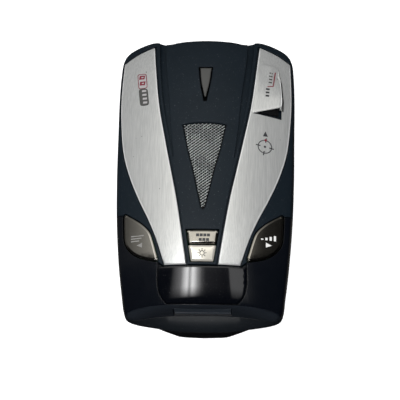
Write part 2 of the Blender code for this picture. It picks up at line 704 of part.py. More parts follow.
def bracket_guide(paint):
    outer = ((-SLOT_HALF - LINER, SLOT_HALF + LINER), (SLOT_BACK_Y - LINER, SLOT_FRONT_Y))
    guide = box("bracket_guide", *outer, (SLOT_Z0 - LINER, SLOT_Z1 + LINER), paint)
    cut(guide, box("bracket_slot", (-SLOT_HALF, SLOT_HALF), (SLOT_BACK_Y, 60.0), (SLOT_Z0, SLOT_Z1)))
    return cut(guide, box("catch_window", (-1.6, 1.6), (41.6, 44.5), (SLOT_Z0 - 2.0, SLOT_Z0 + 1.0)))


def power_jack(paint):
    block = box("power_jack", (24.6, 31.7), (JACK_Y - 3.0, JACK_Y + 3.0), (11.6, 17.3), paint)
    join(block, disc("jack_nose", JACK_RADIUS, (0, JACK_Y, JACK_Z), 30.0, 33.9, "X"))
    cut(block, disc("jack_bore", 1.7, (0, JACK_Y, JACK_Z), 26.0, 36.0, "X"))
    return join(block, disc("jack_pin", 0.5, (0, JACK_Y, JACK_Z), 25.0, 33.0, "X", 12))


def main_board(paint):
    board = prism("main_board", mirrored(BOARD_HALF), BOARD_Z0, BOARD_Z1, paint)
    cut(board, disc("magnet_hole", 6.4, (0, SPEAKER_Y, 0), 15.0, 22.0))
    for k, (x, y) in enumerate(BOARD_SCREWS):
        cut(board, disc(f"board_hole_{k}", 1.2, (x, y, 0), 15.0, 22.0, sides=16))
    return board


def horn_antenna(paint):
    def section(y, half, z0, z1):
        return [(-half, y, z0), (half, y, z0), (half, y, z1), (-half, y, z1)]

    def tube(name, sections, colour=None):
        points = [p for part in sections for p in part]
        last = 4 * (len(sections) - 1)
        faces = [(0, 1, 2, 3), (last, last + 1, last + 2, last + 3)]
        for row in range(0, last, 4):
            faces += [(row + i, row + (i + 1) % 4, row + 4 + (i + 1) % 4, row + 4 + i) for i in range(4)]
        return mesh_object(name, points, faces, colour)

    outer = [section(48.0, 13.0, 3.6, 10.0), section(25.0, 6.0, 3.6, 9.4), section(8.0, 6.0, 3.6, 9.4)]
    inner = [section(49.0, 12.2, 4.5, 9.2), section(25.0, 4.8, 4.9, 8.4), section(10.0, 4.8, 4.9, 8.4)]
    return cut(tube("horn_antenna", outer, paint), tube("horn_throat", inner))


def speaker(paint):
    centre = (0, SPEAKER_Y, 0)
    basket = [(7.5, 20.5), (12.0, 25.1), (13.0, 25.1), (13.0, 26.0), (11.6, 26.0), (6.9, 21.5)]
    cone = [(1.8, 22.2), (4.5, 22.4), (10.5, 25.4), (10.5, 25.9), (4.3, 23.4), (2.4, 24.2), (0.8, 24.5)]
    smooth(turned("speaker_frame", basket, centre, sides=32, paint=paint["tin_plate"]))
    smooth(turned("speaker_cone", cone, centre, sides=32, paint=paint["paper_cone"]))
    smooth(disc("speaker_magnet", 5.6, centre, 15.2, 20.2, sides=32, paint=paint["ferrite"]))
    smooth(ring_wall("speaker_gasket", 13.0, 11.9, centre, 26.2, 26.65, 32, paint["component_black"]))


def electronics(paint):
    black = paint["component_black"]
    tin = paint["tin_plate"]
    can = box("rf_shield", (-14.0, 14.0), (20.6, 32.6), (BOARD_Z1 + 0.05, 23.6), tin)
    cut(can, box("rf_room", (-13.4, 13.4), (21.2, 32.0), (BOARD_Z1 - 1.0, 23.0)))
    box("mixer_lid", (-5.6, 5.6), (9.0, 22.0), (9.7, 10.8), tin)
    box("processor_chip", (-7.0, 7.0), (-23.0, -9.0), (16.0, BOARD_Z0 - 0.05), black)
    box("memory_chip", (10.0, 16.0), (-22.0, -12.0), (16.2, BOARD_Z0 - 0.05), black)
    box("crystal_can", (-17.0, -11.0), (-20.0, -17.0), (14.0, BOARD_Z0 - 0.05), tin)
    smooth(disc("filter_capacitor", 3.0, (-19.5, 10.0, 0), BOARD_Z1 + 0.05, 23.0, paint=tin))
    smooth(disc("supply_coil", 3.4, (19.5, 10.0, 0), BOARD_Z1 + 0.05, 22.4, paint=black))
    smooth(ring_wall("volume_control", 3.6, 1.8, (WHEEL_X, WHEEL_Y), 14.75, BOARD_Z0 - 0.05, 24, black))
    box("front_laser_sensor", (-21.0, -16.0), (48.4, 52.0), (14.0, 18.0), black)
    box("front_sensor_bracket", (-21.4, -15.6), (46.6, 52.4), (11.6, 13.7), paint["grey_plastic"])
    box("display_module", (-10.2, 10.2), (-48.8, -43.8), (12.8, 18.9), black)
    ribbon = [
        (-43.5, 15.0), (-41.2, 15.0), (-38.2, 16.8), (-34.0, 16.8), (-34.0, 17.1), (-38.4, 17.1), (-41.3, 15.3),
        (-43.5, 15.3),
    ]
    along_x("display_flex", ribbon, (-4.5, 4.5), paint["flex_amber"])


def fasteners(paint):
    for k, (x, y) in enumerate(CASE_SCREWS):
        profile = [(2.1, 0.5), (2.1, 1.9), (1.1, 1.9), (1.1, 14.5), (0.6, 15.2)]
        screw = turned(f"case_screw_{k + 1}", profile, (x, y, 0), sides=16, paint=paint)
        for angle, spin in (("along", 0), ("across", math.pi / 2)):
            slot = box(f"case_slot_{angle}_{k}", (-1.3, 1.3), (-0.3, 0.3), (-1.0, 1.1))
            slot.data.transform(Matrix.Translation(Vector((x, y, 0)) * MM) @ Matrix.Rotation(spin, 4, "Z"))
            cut(screw, slot)
    for k, (x, y) in enumerate(BOARD_SCREWS):
        profile = [(1.9, 16.1), (1.9, 17.3), (0.9, 17.3), (0.9, 21.4), (0.5, 21.9)]
        smooth(turned(f"board_screw_{k + 1}", profile, (x, y, 0), sides=16, paint=paint))


# ---------------------------------------------------------------- everything together


def main():
    clear_scene()
    paint = palette()
    upper_case(paint["soft_black"])
    lower_case(paint["soft_black"])
    rear_bezel(paint["gloss_black"])
    wing("left_wing", flipped(wing_loop()), paint["brushed_silver"])
    right_wing(paint["brushed_silver"])
    lens = [(20.2, 24.95), (28.35, 24.55), (28.35, 29.4), (21.6, 27.1)]
    hood_inside("rear_laser_lens", lens, -0.3, 0.4, paint["smoked_lens"])
    sensor = [(22.0, 31.0), (27.8, 31.0), (27.8, 34.8), (22.0, 34.8)]
    hood_inside("rear_laser_sensor", sensor, 0.8, 0.0, paint["component_black"])
    speaker_grille(paint["grille_metal"])
    plate("display_shield", shield_loop(), skin, skin_less(TRIM), paint["gloss_black"], 5.0)
    pane = [(-49.8, WINDOW_Z0), (-51.3, WINDOW_Z0), (-50.8, WINDOW_Z1), (-49.3, WINDOW_Z1)]
    along_x("display_window", pane, (-WINDOW_HALF, WINDOW_HALF), paint["smoked_lens"])
    box("front_lens", LENS_X, (53.3, 55.2), LENS_Z, paint["smoked_lens"])

    side_x, side_y = SIDE_KEY_SWITCH
    spots = {
        "mute": (flipped(side_key_loop()), (-side_x, side_y)),
        "city": (side_key_loop(), (side_x, side_y)),
        "save": (trapezoid(SAVE_KEY), (0.0, SAVE_SWITCH_Y)),
        "dim": (trapezoid(DIM_KEY), (0.0, DIM_SWITCH_Y)),
    }
    for name, (loop, spot) in spots.items():
        key(f"{name}_button", loop, spot, paint["chrome"])
        tact_switch(f"{name}_switch", spot, paint["component_black"])
        plunger(f"{name}_plunger", spot, paint["grey_plastic"])
    release_button(paint["grey_plastic"])
    release_spring(paint["zinc_screw"])
    volume_wheel(paint["grey_plastic"])

    bracket_guide(paint["component_black"])
    power_jack(paint["component_black"])
    main_board(paint["board_green"])
    horn_antenna(paint["cast_metal"])
    speaker(paint)
    electronics(paint)
    fasteners(paint["zinc_screw"])
    box("rating_label", LABEL_X, LABEL_Y, (0.05, 0.2), paint["label_film"])


main()
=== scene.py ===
"""Looks of the radar detector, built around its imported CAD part."""

import math

import bmesh
import bpy
from mathutils import Matrix, Vector
from mathutils.geometry import delaunay_2d_cdt


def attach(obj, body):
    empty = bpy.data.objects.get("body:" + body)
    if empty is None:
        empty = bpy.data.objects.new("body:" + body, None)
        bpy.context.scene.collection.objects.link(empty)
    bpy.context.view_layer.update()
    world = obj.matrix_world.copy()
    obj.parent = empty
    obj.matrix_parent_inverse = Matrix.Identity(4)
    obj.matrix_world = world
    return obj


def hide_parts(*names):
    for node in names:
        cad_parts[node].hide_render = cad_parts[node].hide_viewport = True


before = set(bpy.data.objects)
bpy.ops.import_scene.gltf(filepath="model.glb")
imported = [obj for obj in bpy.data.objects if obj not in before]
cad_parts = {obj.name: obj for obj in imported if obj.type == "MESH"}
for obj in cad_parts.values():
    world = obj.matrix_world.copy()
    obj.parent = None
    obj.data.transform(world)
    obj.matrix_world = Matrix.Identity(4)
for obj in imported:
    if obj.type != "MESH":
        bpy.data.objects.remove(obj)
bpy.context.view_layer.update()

MM = 0.001

# Driving dimensions of the case.
TOP_Z = 31.6  # highest point of the top skin, on the centre line
CROWN_RADIUS = 60.0  # the skin's arch from side to side
PROFILE_POWER = 3.5  # how late the skin falls away towards both ends
FRONT_DROP, FRONT_Y = 7.1, 55.5
REAR_DROP, REAR_Y = 8.3, 50.0
PART_Z = 11.0  # parting plane between the upper and lower halves
EDGE_WIDTH = 1.3  # plan width of the rounded upper edge, wider where the rear wall leans
WALL = 1.8
SKIN = 3.2  # thickness of the top skin outside the trim pockets
GAP = 0.3  # clearance between neighbouring pieces
WING_SHADOW = 0.45  # extra width of the gap along the wings' inner edges
TRIM = 1.2  # thickness of the trim panels

# Plan outlines, right half, from front to rear.
UPPER_HALF = [
    (0, 57.2), (10, 56.8), (15.2, 56.1), (19.6, 57.8), (23.4, 57.6), (28.3, 56.1), (32.1, 53.9),
    (33.9, 50.6), (34.5, 44.5), (34.8, 34.0), (34.7, 18.0), (34.6, 2.0), (34.0, -16.0),
    (32.7, -33.0), (31.1, -46.0), (30.4, -50.4), (29.1, -52.7), (26.9, -53.7), (23.4, -53.4), (17.5, -52.4),
    (10.5, -51.8), (0, -51.6),
]
LOWER_HALF = UPPER_HALF[:-8] + [
    (31.3, -45.0), (30.8, -49.5), (29.6, -53.0), (26.0, -54.6), (18.5, -55.9), (9.5, -56.9), (0, -57.2),
]
WING_INNER = [(20.8, 54.4), (19.6, 42.5), (17.8, 27.5), (15.0, 12.9), (12.3, -0.1), (9.7, -12.8), (6.0, -35.5)]
WING_OUTER = [
    (14.2, -35.5), (17.3, -26.2), (20.6, -18.4), (24.7, -10.0), (28.7, -0.3), (31.6, 10.1), (33.0, 22.9),
    (33.35, 34.0), (32.9, 48.7),
]
WING_FRONT = [(32.9, 48.7), (28.2, 51.5), (24.2, 53.2), (20.8, 54.4)]
VALLEY = [
    (15.9, 60.0), (15.8, 47.7), (13.9, 30.0), (12.85, 16.8), (11.45, 5.5), (11.85, 5.5), (14.1, 16.8), (16.45, 30.0),
    (18.3, 47.7), (18.8, 60.0),
]
VALLEY_REAR_Y, VALLEY_REAR_DEPTH, VALLEY_SLOPE = 5.5, 0.5, 0.028
SIDE_KEY = [
    (30.2, -15.5), (30.2, -21.0), (29.7, -26.2), (27.8, -29.5), (25.3, -31.6), (22.6, -32.9), (19.6, -33.7),
    (16.8, -33.9), (17.6, -30.3), (18.7, -26.6), (20.1, -23.1), (23.0, -20.0), (25.5, -18.1), (28.1, -16.4),
]
BEZEL_EDGE = [
    (14.9, -35.8), (16.7, -34.5), (18.4, -31.8), (19.5, -28.0), (21.1, -24.2), (23.8, -21.0), (26.4, -19.0),
    (29.0, -17.0), (30.4, -15.7), (37.0, -15.0),
]
SHIELD_HALF = [(16.5, -36.3), (16.7, -41.5), (15.8, -46.0), (13.4, -49.2)]
GRILLE_HALF = [(0, 19.2), (4.5, 19.0), (8.2, 18.4), (6.0, 7.9), (4.0, 0.3), (2.4, -6.9), (0.7, -14.3)]
SOUND_HALF = [(0, 17.8), (6.8, 17.2), (4.7, 7.9), (2.8, 0.3), (1.1, -7.5), (0, -9.0)]
HOOD_LOOP = [
    (17.9, 24.3), (29.6, 27.3), (29.8, 31.0), (29.3, 38.0), (28.2, 45.8), (24.0, 46.6), (20.3, 46.8), (18.9, 33.0),
]
HOOD_MOUTH = [(18.2, 24.3), (29.55, 27.3), (29.45, 23.2)]
HOOD_CAVITY = [(19.4, 24.6), (28.7, 24.2), (28.7, 36.0), (20.8, 36.0), (19.8, 29.0)]
HOOD_START_Y, HOOD_FULL_Y = 46.8, 30.0
HOOD_SLOPE = 0.12  # how much the hood's roof still falls away to the side
HOOD_STEP = 0.6  # the hood's edge stands this proud of the wing where it starts
HOOD_ROOF = 1.0  # thickness of its roof

# Controls. A key is (half width, y) of its front and of its rear edge.
KEY_GAP = 0.35
SAVE_KEY = [(6.0, -23.0), (5.3, -28.25)]
DIM_KEY = [(5.2, -28.75), (4.15, -34.6)]
KEY_DEPTH = 2.0
RELEASE_GAP = 0.5  # width of the dark gap round the bracket release
WHEEL_X, WHEEL_Y, WHEEL_RADIUS = -27.9, -7.0, 6.4
WHEEL_Z0, WHEEL_Z1 = 11.9, 14.4

# Openings, inlets and the base.
SLOT_HALF, SLOT_Z0, SLOT_Z1, SLOT_BACK_Y, SLOT_FRONT_Y = 10.5, 15.1, 19.7, 39.2, 56.0
LINER = 1.0  # wall of the bracket guide
CASE_SCREWS = [(20.5, 38.0), (-20.5, 38.0), (19.0, -41.8), (-19.0, -41.8)]
JACK_Y, JACK_Z, JACK_RADIUS = 6.0, 14.5, 2.4
WINDOW_HALF, WINDOW_Z0, WINDOW_Z1 = 10.7, 12.9, 20.3
LENS_X, LENS_Z = (-22.0, -15.0), (13.8, 18.2)
LABEL_X, LABEL_Y = (-13.0, 13.0), (-37.0, -22.0)
# The hull below its edge: height, width and length as shares of the outline there.
HULL = [
    (0.0, 0.70, 0.85), (0.25, 0.72, 0.862), (0.8, 0.745, 0.875), (2.5, 0.86, 0.93), (4.6, 0.945, 0.972),
    (6.5, 0.99, 0.997), (7.0, 1.0, 1.0),
]
# The hull's wall above that edge: height, how far it has reached the upper half's outline.
HULL_RISE = [(7.35, 0.03), (8.2, 0.16), (9.4, 0.45), (PART_Z - GAP / 2, 1.0)]
# Rear apron of the hull: height, half width, how far it stands out past the chin, inner y.
APRON = [
    (0.5, 12.2, 0.4, -47.5), (1.3, 13.4, 1.2, -48.5), (4.5, 17.2, 1.0, -52.0), (6.8, 20.3, 0.25, -53.5),
    (8.0, 20.0, -2.2, -53.0),
]


# ---- plan curves and heights


def mirrored(half):
    """A closed loop from its right half, which runs from the centre line and back to it."""
    left = [(-x, y) for x, y in reversed(half) if abs(x) > 1e-6]
    return list(half) + left


def flipped(loop):
    """The same loop on the left side, still in the same turning direction."""
    return [(-x, y) for x, y in reversed(loop)]


def spline(points, closed, step):
    """Points about step apart on a Catmull-Rom curve through the given ones."""
    count = len(points)
    made = []
    for i in range(count if closed else count - 1):
        if closed:
            p0, p1, p2, p3 = (Vector(points[(i + k) % count]) for k in (-1, 0, 1, 2))
        else:
            p1, p2 = Vector(points[i]), Vector(points[i + 1])
            p0 = Vector(points[i - 1]) if i else p1 * 2 - p2
            p3 = Vector(points[i + 2]) if i + 2 < count else p2 * 2 - p1
        pieces = max(1, round((p2 - p1).length / step))
        for k in range(pieces):
            t = k / pieces
            a = p1 * 2
            b = p2 - p0
            c = p0 * 2 - p1 * 5 + p2 * 4 - p3
            d = p1 * 3 - p0 - p2 * 3 + p3
            made.append(tuple((a + b * t + c * t * t + d * t * t * t) / 2))
    if not closed:
        made.append(tuple(points[-1]))
    return made


def area(loop):
    """Signed area, positive if the loop turns to the left."""
    return sum(a[0] * b[1] - b[0] * a[1] for a, b in zip(loop, loop[1:] + loop[:1])) / 2


def edge_width(x, y):
    """The rounded edge's plan width: the rear wall leans forwards towards its corners."""
    lean = max(0.0, min(1.0, (-44.0 - y) / 5.0))
    return EDGE_WIDTH + lean * (0.3 + 2.3 * min(1.0, abs(x) / 24.0) ** 2 * max(0.0, 1 - max(0.0, abs(x) - 26) / 4.5))


def offset(loop, distance):
    """The loop moved inwards by distance or distance(x, y), outwards if negative, with mitred corners."""
    side = 1 if area(loop) > 0 else -1
    made = []
    for i, p in enumerate(loop):
        before = (Vector(p) - Vector(loop[i - 1])).normalized()
        after = (Vector(loop[(i + 1) % len(loop)]) - Vector(p)).normalized()
        normal = Vector((-before.y - after.y, before.x + after.x)).normalized()
        stretch = max(0.35, normal.dot(Vector((-before.y, before.x))))
        reach = distance(*p) if callable(distance) else distance
        made.append(tuple(Vector(p) + normal * (side * reach / stretch)))
    return made


def inside(x, y, loop):
    """Whether the point lies in the loop."""
    hit = False
    for (x0, y0), (x1, y1) in zip(loop, loop[1:] + loop[:1]):
        if (y0 > y) != (y1 > y) and x < (x1 - x0) * (y - y0) / (y1 - y0) + x0:
            hit = not hit
    return hit


def between(rail, y):
    """x on a line of points that runs from front to rear."""
    for (x0, y0), (x1, y1) in zip(rail, rail[1:]):
        if y1 <= y <= y0:
            return x0 + (x1 - x0) * (y0 - y) / (y0 - y1)
    return rail[0][0] if y > rail[0][1] else rail[-1][0]


def skin(x, y):
    """Height of the case's top skin."""
    drop, end = (FRONT_DROP, FRONT_Y) if y > 0 else (REAR_DROP, REAR_Y)
    crown = CROWN_RADIUS - math.sqrt(CROWN_RADIUS**2 - x * x)
    return TOP_Z - drop * (abs(y) / end) ** PROFILE_POWER - crown


def skin_less(depth):
    """The height function of a surface that lies depth below the skin."""
    return lambda x, y: skin(x, y) - depth


def hood_roof(x, y):
    """Height of the hood over the rear laser sensor: level where the wing falls away."""
    root = between(WING_INNER, y) + 0.25
    rise = min(1.0, max(0.0, (HOOD_START_Y - y) / (HOOD_START_Y - HOOD_FULL_Y)))
    rise = rise * rise * (3 - 2 * rise)
    level = skin(root, y) - HOOD_SLOPE * (x - root)
    step = HOOD_STEP * min(1.0, max(0.0, (x - root - 1.5) / 4.0))
    return skin(x, y) + max(step, rise * (level - skin(x, y)))


# ---- materials


def nodes_of(name):
    """A new material with its node tree and its shader."""
    made = bpy.data.materials.new(name)
    made.use_nodes = True
    tree = made.node_tree
    return made, tree, tree.nodes["Principled BSDF"]


def add(tree, kind, inputs=None, **settings):
    """A new node with its inputs linked or set."""
    node = tree.nodes.new(kind)
    for key, value in settings.items():
        setattr(node, key, value)
    for key, value in (inputs or {}).items():
        if isinstance(value, bpy.types.NodeSocket):
            tree.links.new(value, node.inputs[key])
        else:
            node.inputs[key].default_value = value
    return node


def settle(node, values):
    """Sets the node's inputs by name."""
    for key, value in values.items():
        node.inputs[key].default_value = value


def ramp(tree, fac, stops):
    """A colour ramp through (position, grey value or colour) stops."""
    node = add(tree, "ShaderNodeValToRGB", {"Fac": fac})
    parts = node.color_ramp.elements
    while len(parts) < len(stops):
        parts.new(0.5)
    for part, (at, value) in zip(parts, stops):
        part.position = at
        part.color = (*value, 1.0) if isinstance(value, tuple) else (value, value, value, 1.0)
    return node.outputs["Color"]


def place(tree, scale):
    """Object coordinates stretched by scale (per metre)."""
    where = add(tree, "ShaderNodeTexCoord").outputs["Object"]
    return add(tree, "ShaderNodeMapping", {"Vector": where, "Scale": scale}).outputs["Vector"]


def noise(tree, scale, detail=3.0, rough=0.5):
    settings = {"Vector": place(tree, scale), "Scale": 1.0, "Detail": detail, "Roughness": rough}
    return add(tree, "ShaderNodeTexNoise", settings).outputs[0]


def mix(tree, fac, a, b):
    """Colour a turning into colour b as fac goes from 0 to 1."""
    node = add(tree, "ShaderNodeMix", data_type="RGBA")
    for socket, value in ((node.inputs[0], fac), (node.inputs[6], a), (node.inputs[7], b)):
        if isinstance(value, bpy.types.NodeSocket):
            tree.links.new(value, socket)
        else:
            socket.default_value = (*value, 1.0) if isinstance(value, tuple) else value
    return node.outputs[2]


def finish_normal(tree, shader, height, strength, distance, edge):
    """Rounded edges from a bevel of radius edge (metres), with a fine bump on top."""
    round_edge = add(tree, "ShaderNodeBevel", {"Radius": edge}, samples=6).outputs[0]
    settings = {"Height": height, "Strength": strength, "Distance": distance, "Normal": round_edge}
    tree.links.new(add(tree, "ShaderNodeBump", settings).outputs[0], shader.inputs["Normal"])


def plastic(name, dark, light, rough, grain, bump, edge=0.00025, coat=0.0, dust=0.0):
    """Moulded or painted plastic: mottled colour, uneven gloss, fine grain, rounded edges."""
    made, tree, shader = nodes_of(name)
    broad = noise(tree, (90, 90, 90), 4.0)
    colour = mix(tree, broad, dark, light)
    if dust:
        specks = ramp(tree, noise(tree, (2600, 2600, 2600), 2.0), [(0.70, 0.0), (0.74, dust)])
        colour = mix(tree, specks, colour, (0.35, 0.36, 0.37))
    tree.links.new(colour, shader.inputs["Base Color"])
    uneven = add(tree, "ShaderNodeMapRange", {0: noise(tree, (260, 200, 260), 3.0), 3: rough - 0.06, 4: rough + 0.06})
    tree.links.new(uneven.outputs[0], shader.inputs["Roughness"])
    settle(shader, {"Coat Weight": coat, "Coat Roughness": 0.025, "Specular IOR Level": 0.5 if coat else 0.32})
    finish_normal(tree, shader, noise(tree, (grain, grain, grain), 2.0), bump, 0.00004, edge)
    return made


def brushed(name):
    """Painted-metal look of the wings: fine lengthwise brushing, faint scratches, tiny chips."""
    made, tree, shader = nodes_of(name)
    fine = noise(tree, (5200, 130, 3000), 4.0, 0.65)
    coarse = noise(tree, (1300, 22, 900), 3.0, 0.6)
    base = mix(tree, coarse, (0.66, 0.675, 0.66), (0.90, 0.91, 0.89))
    streak = mix(tree, ramp(tree, fine, [(0.35, 0.0), (0.68, 1.0)]), (0.60, 0.61, 0.60), (1.0, 1.0, 0.98))
    colour = mix(tree, 0.5, base, streak)
    scratch = ramp(tree, noise(tree, (800, 60, 700), 1.0), [(0.73, 0.0), (0.75, 0.5)])
    colour = mix(tree, scratch, colour, (0.86, 0.86, 0.85))
    chip = ramp(tree, noise(tree, (700, 700, 700), 1.5), [(0.775, 0.0), (0.785, 0.85)])
    colour = mix(tree, chip, colour, (0.16, 0.15, 0.14))
    tree.links.new(colour, shader.inputs["Base Color"])
    uneven = add(tree, "ShaderNodeMapRange", {0: fine, 3: 0.30, 4: 0.46})
    tree.links.new(uneven.outputs[0], shader.inputs["Roughness"])
    settle(shader, {"Metallic": 0.7})
    finish_normal(tree, shader, fine, 0.35, 0.00003, 0.00018)
    return made


def metal(name, colour, rough, edge=0.00012, smudge=0.05, metallic=1.0, dull=0.86, spread=350):
    """Metal or plating with soft clouds, as dark as dull times its colour."""
    made, tree, shader = nodes_of(name)
    cloud = noise(tree, (spread, spread, spread), 4.0)
    darker = tuple(c * dull for c in colour)
    tree.links.new(mix(tree, cloud, darker, colour), shader.inputs["Base Color"])
    uneven = add(tree, "ShaderNodeMapRange", {0: cloud, 3: rough, 4: rough + smudge})
    tree.links.new(uneven.outputs[0], shader.inputs["Roughness"])
    settle(shader, {"Metallic": metallic})
    finish_normal(tree, shader, noise(tree, (1500, 1500, 1500), 2.0), 0.05, 0.00002, edge)
    return made


def two_tone(name):
    """The bezel: glossy on top, matt and a little lighter where it turns down to the rear."""
    coat = 0.3
    made = plastic(name, (0.0015, 0.0022, 0.0040), (0.0024, 0.0034, 0.0056), 0.22, 2500, 0.08, 0.0003, coat)
    tree = made.node_tree
    shader = tree.nodes["Principled BSDF"]
    normal = add(tree, "ShaderNodeNewGeometry").outputs["Normal"]
    facing = add(tree, "ShaderNodeSeparateXYZ", {0: normal}).outputs[1]
    lean = add(tree, "ShaderNodeMapRange", {0: facing, 1: -0.62, 2: -0.74}).outputs[0]
    for key, value in (("Base Color", (0.0065, 0.0092, 0.0135)), ("Roughness", (0.5, 0.5, 0.5))):
        socket = shader.inputs[key]
        tree.links.new(mix(tree, lean, socket.links[0].from_socket, value), socket)
    gloss = add(tree, "ShaderNodeMath", {0: 1.0, 1: lean}, operation="SUBTRACT").outputs[0]
    coated = add(tree, "ShaderNodeMath", {0: gloss, 1: coat}, operation="MULTIPLY").outputs[0]
    tree.links.new(coated, shader.inputs["Coat Weight"])
    return made


def materials():
    """Every material by name."""
    # Darker and lighter colour, roughness, grain, bump, edge radius, coat, dust.
    plastics = {
        "case": ((0.0032, 0.0072, 0.0115), (0.0050, 0.0100, 0.0152), 0.50, 5200, 0.35, 0.0003, 0.0, 0.25),
        "pane": ((0.019, 0.024, 0.032), (0.022, 0.028, 0.037), 0.3, 1500, 0.05, 0.0003, 0.3),
        "hull": ((0.0038, 0.0052, 0.0070), (0.0056, 0.0074, 0.0098), 0.42, 3800, 0.3, 0.0004, 0.0, 0.15),
        "gloss": ((0.001, 0.0014, 0.0026), (0.0014, 0.0018, 0.0032), 0.09, 900, 0.01, 0.0003, 1.0, 0.1),
        # The near-black below is the real black of the hood lens, the grille backing and the release stem, and also
        # painted shade: on the release hole's walls, inside the hood, on the hull's rear apron, beside the hood's
        # edge and under the release.
        "black_and_shade": ((0.0012, 0.0014, 0.002), (0.002, 0.0023, 0.003), 0.6, 3000, 0.2),
        "grey": ((0.055, 0.055, 0.052), (0.070, 0.070, 0.066), 0.4, 4000, 0.2, 0.0002),
        "rail": ((0.022, 0.026, 0.032), (0.03, 0.034, 0.04), 0.4, 4000, 0.2, 0.0003),
        "smoked": ((0.006, 0.005, 0.007), (0.009, 0.007, 0.009), 0.08, 900, 0.02, 0.0002, 1.0),
        "red": ((0.15, 0.018, 0.03), (0.18, 0.024, 0.036), 0.35, 3000, 0.1),
        "ink": ((0.030, 0.031, 0.033), (0.042, 0.043, 0.046), 0.45, 3000, 0.1),
        "sign": ((0.19, 0.185, 0.175), (0.22, 0.215, 0.20), 0.4, 3000, 0.1),
        "faded": ((0.30, 0.285, 0.285), (0.34, 0.325, 0.325), 0.4, 3000, 0.1),
        "white": ((0.62, 0.62, 0.60), (0.7, 0.7, 0.68), 0.4, 3000, 0.1),
        "label": ((0.55, 0.55, 0.53), (0.62, 0.62, 0.60), 0.45, 3000, 0.1),
    }
    made = {name: plastic(name, *values) for name, values in plastics.items()}
    made["bezel"] = two_tone("bezel")
    made["silver"] = brushed("silver")
    made["chrome"] = metal("chrome", (0.74, 0.72, 0.67), 0.07)
    # The keys are all one chrome: its darker and lighter copies are painted shade and painted highlight for what each
    # key reflects.
    made["chrome_painted_shade"] = metal("chrome_painted_shade", (0.52, 0.50, 0.45), 0.1)
    made["chrome_painted_highlight"] = metal("chrome_painted_highlight", (0.85, 0.81, 0.71), 0.12, metallic=0.6)
    # The mesh's strong, coarse dark clouds (dull 0.3) are painted reflection: patches that stand in for the wires'
    # uneven reflections.
    made["mesh"] = metal("mesh", (0.93, 1.0, 0.98), 0.25, metallic=0.6, dull=0.3, spread=160)
    # A light metal for painted highlights: the thin bevel strips of the wings and the hood's rim.
    made["edge"] = metal("edge", (0.90, 0.90, 0.89), 0.22, metallic=0.3)
    made["zinc"] = metal("zinc", (0.54, 0.56, 0.56), 0.28)
    return made


# ---- solids


def mesh_object(name, points, faces, paint=None):
    """A new object of points in millimetres, with its normals outwards."""
    mesh = bpy.data.meshes.new(name)
    mesh.from_pydata([Vector(p) * MM for p in points], [], faces)
    build = bmesh.new()
    build.from_mesh(mesh)
    bmesh.ops.recalc_face_normals(build, faces=build.faces)
    build.to_mesh(mesh)
    build.free()
    made = bpy.data.objects.new(name, mesh)
    bpy.context.scene.collection.objects.link(made)
    if paint:
        mesh.materials.append(paint)
    return made


def tube_faces(rows, count, first=0):
    """Faces of a tube of rows with count points each, closed at both ends."""
    last = first + (rows - 1) * count
    faces = [tuple(range(first, first + count)), tuple(range(last, last + count))]
    for start in range(first, last, count):
        for i in range(count):
            a, b = start + i, start + (i + 1) % count
            faces.append((a, b, b + count, a + count))
    return faces


def extruded(name, first, last, paint):
    """The solid between two matching loops of points."""
    return mesh_object(name, first + last, tube_faces(2, len(first)), paint)


def prism(name, loop, z0, z1, paint=None):
    """A plan outline extruded from height z0 to z1."""
    return extruded(name, [(x, y, z0) for x, y in loop], [(x, y, z1) for x, y in loop], paint)


def box(name, x, y, z, paint=None):
    return prism(name, [(x[0], y[0]), (x[1], y[0]), (x[1], y[1]), (x[0], y[1])], z[0], z[1], paint)


def along_x(name, profile, x, paint=None):
    """A (y, z) profile extruded from x[0] to x[1]."""
    return extruded(name, [(x[0], y, z) for y, z in profile], [(x[1], y, z) for y, z in profile], paint)


def turned(name, profile, centre, axis="Z", sides=48, paint=None):
    """A profile of (radius, height) turned about the axis through centre."""
    turn = {"Z": Matrix.Identity(3), "X": Matrix.Rotation(math.pi / 2, 3, "Y")}
    points = []
    for radius, height in profile:
        for i in range(sides):
            angle = math.tau * (i + 0.5) / sides
            points.append(Vector((radius * math.cos(angle), radius * math.sin(angle), height)))
    points = [turn[axis] @ p + Vector(centre) for p in points]
    return mesh_object(name, points, tube_faces(len(profile), sides), paint)


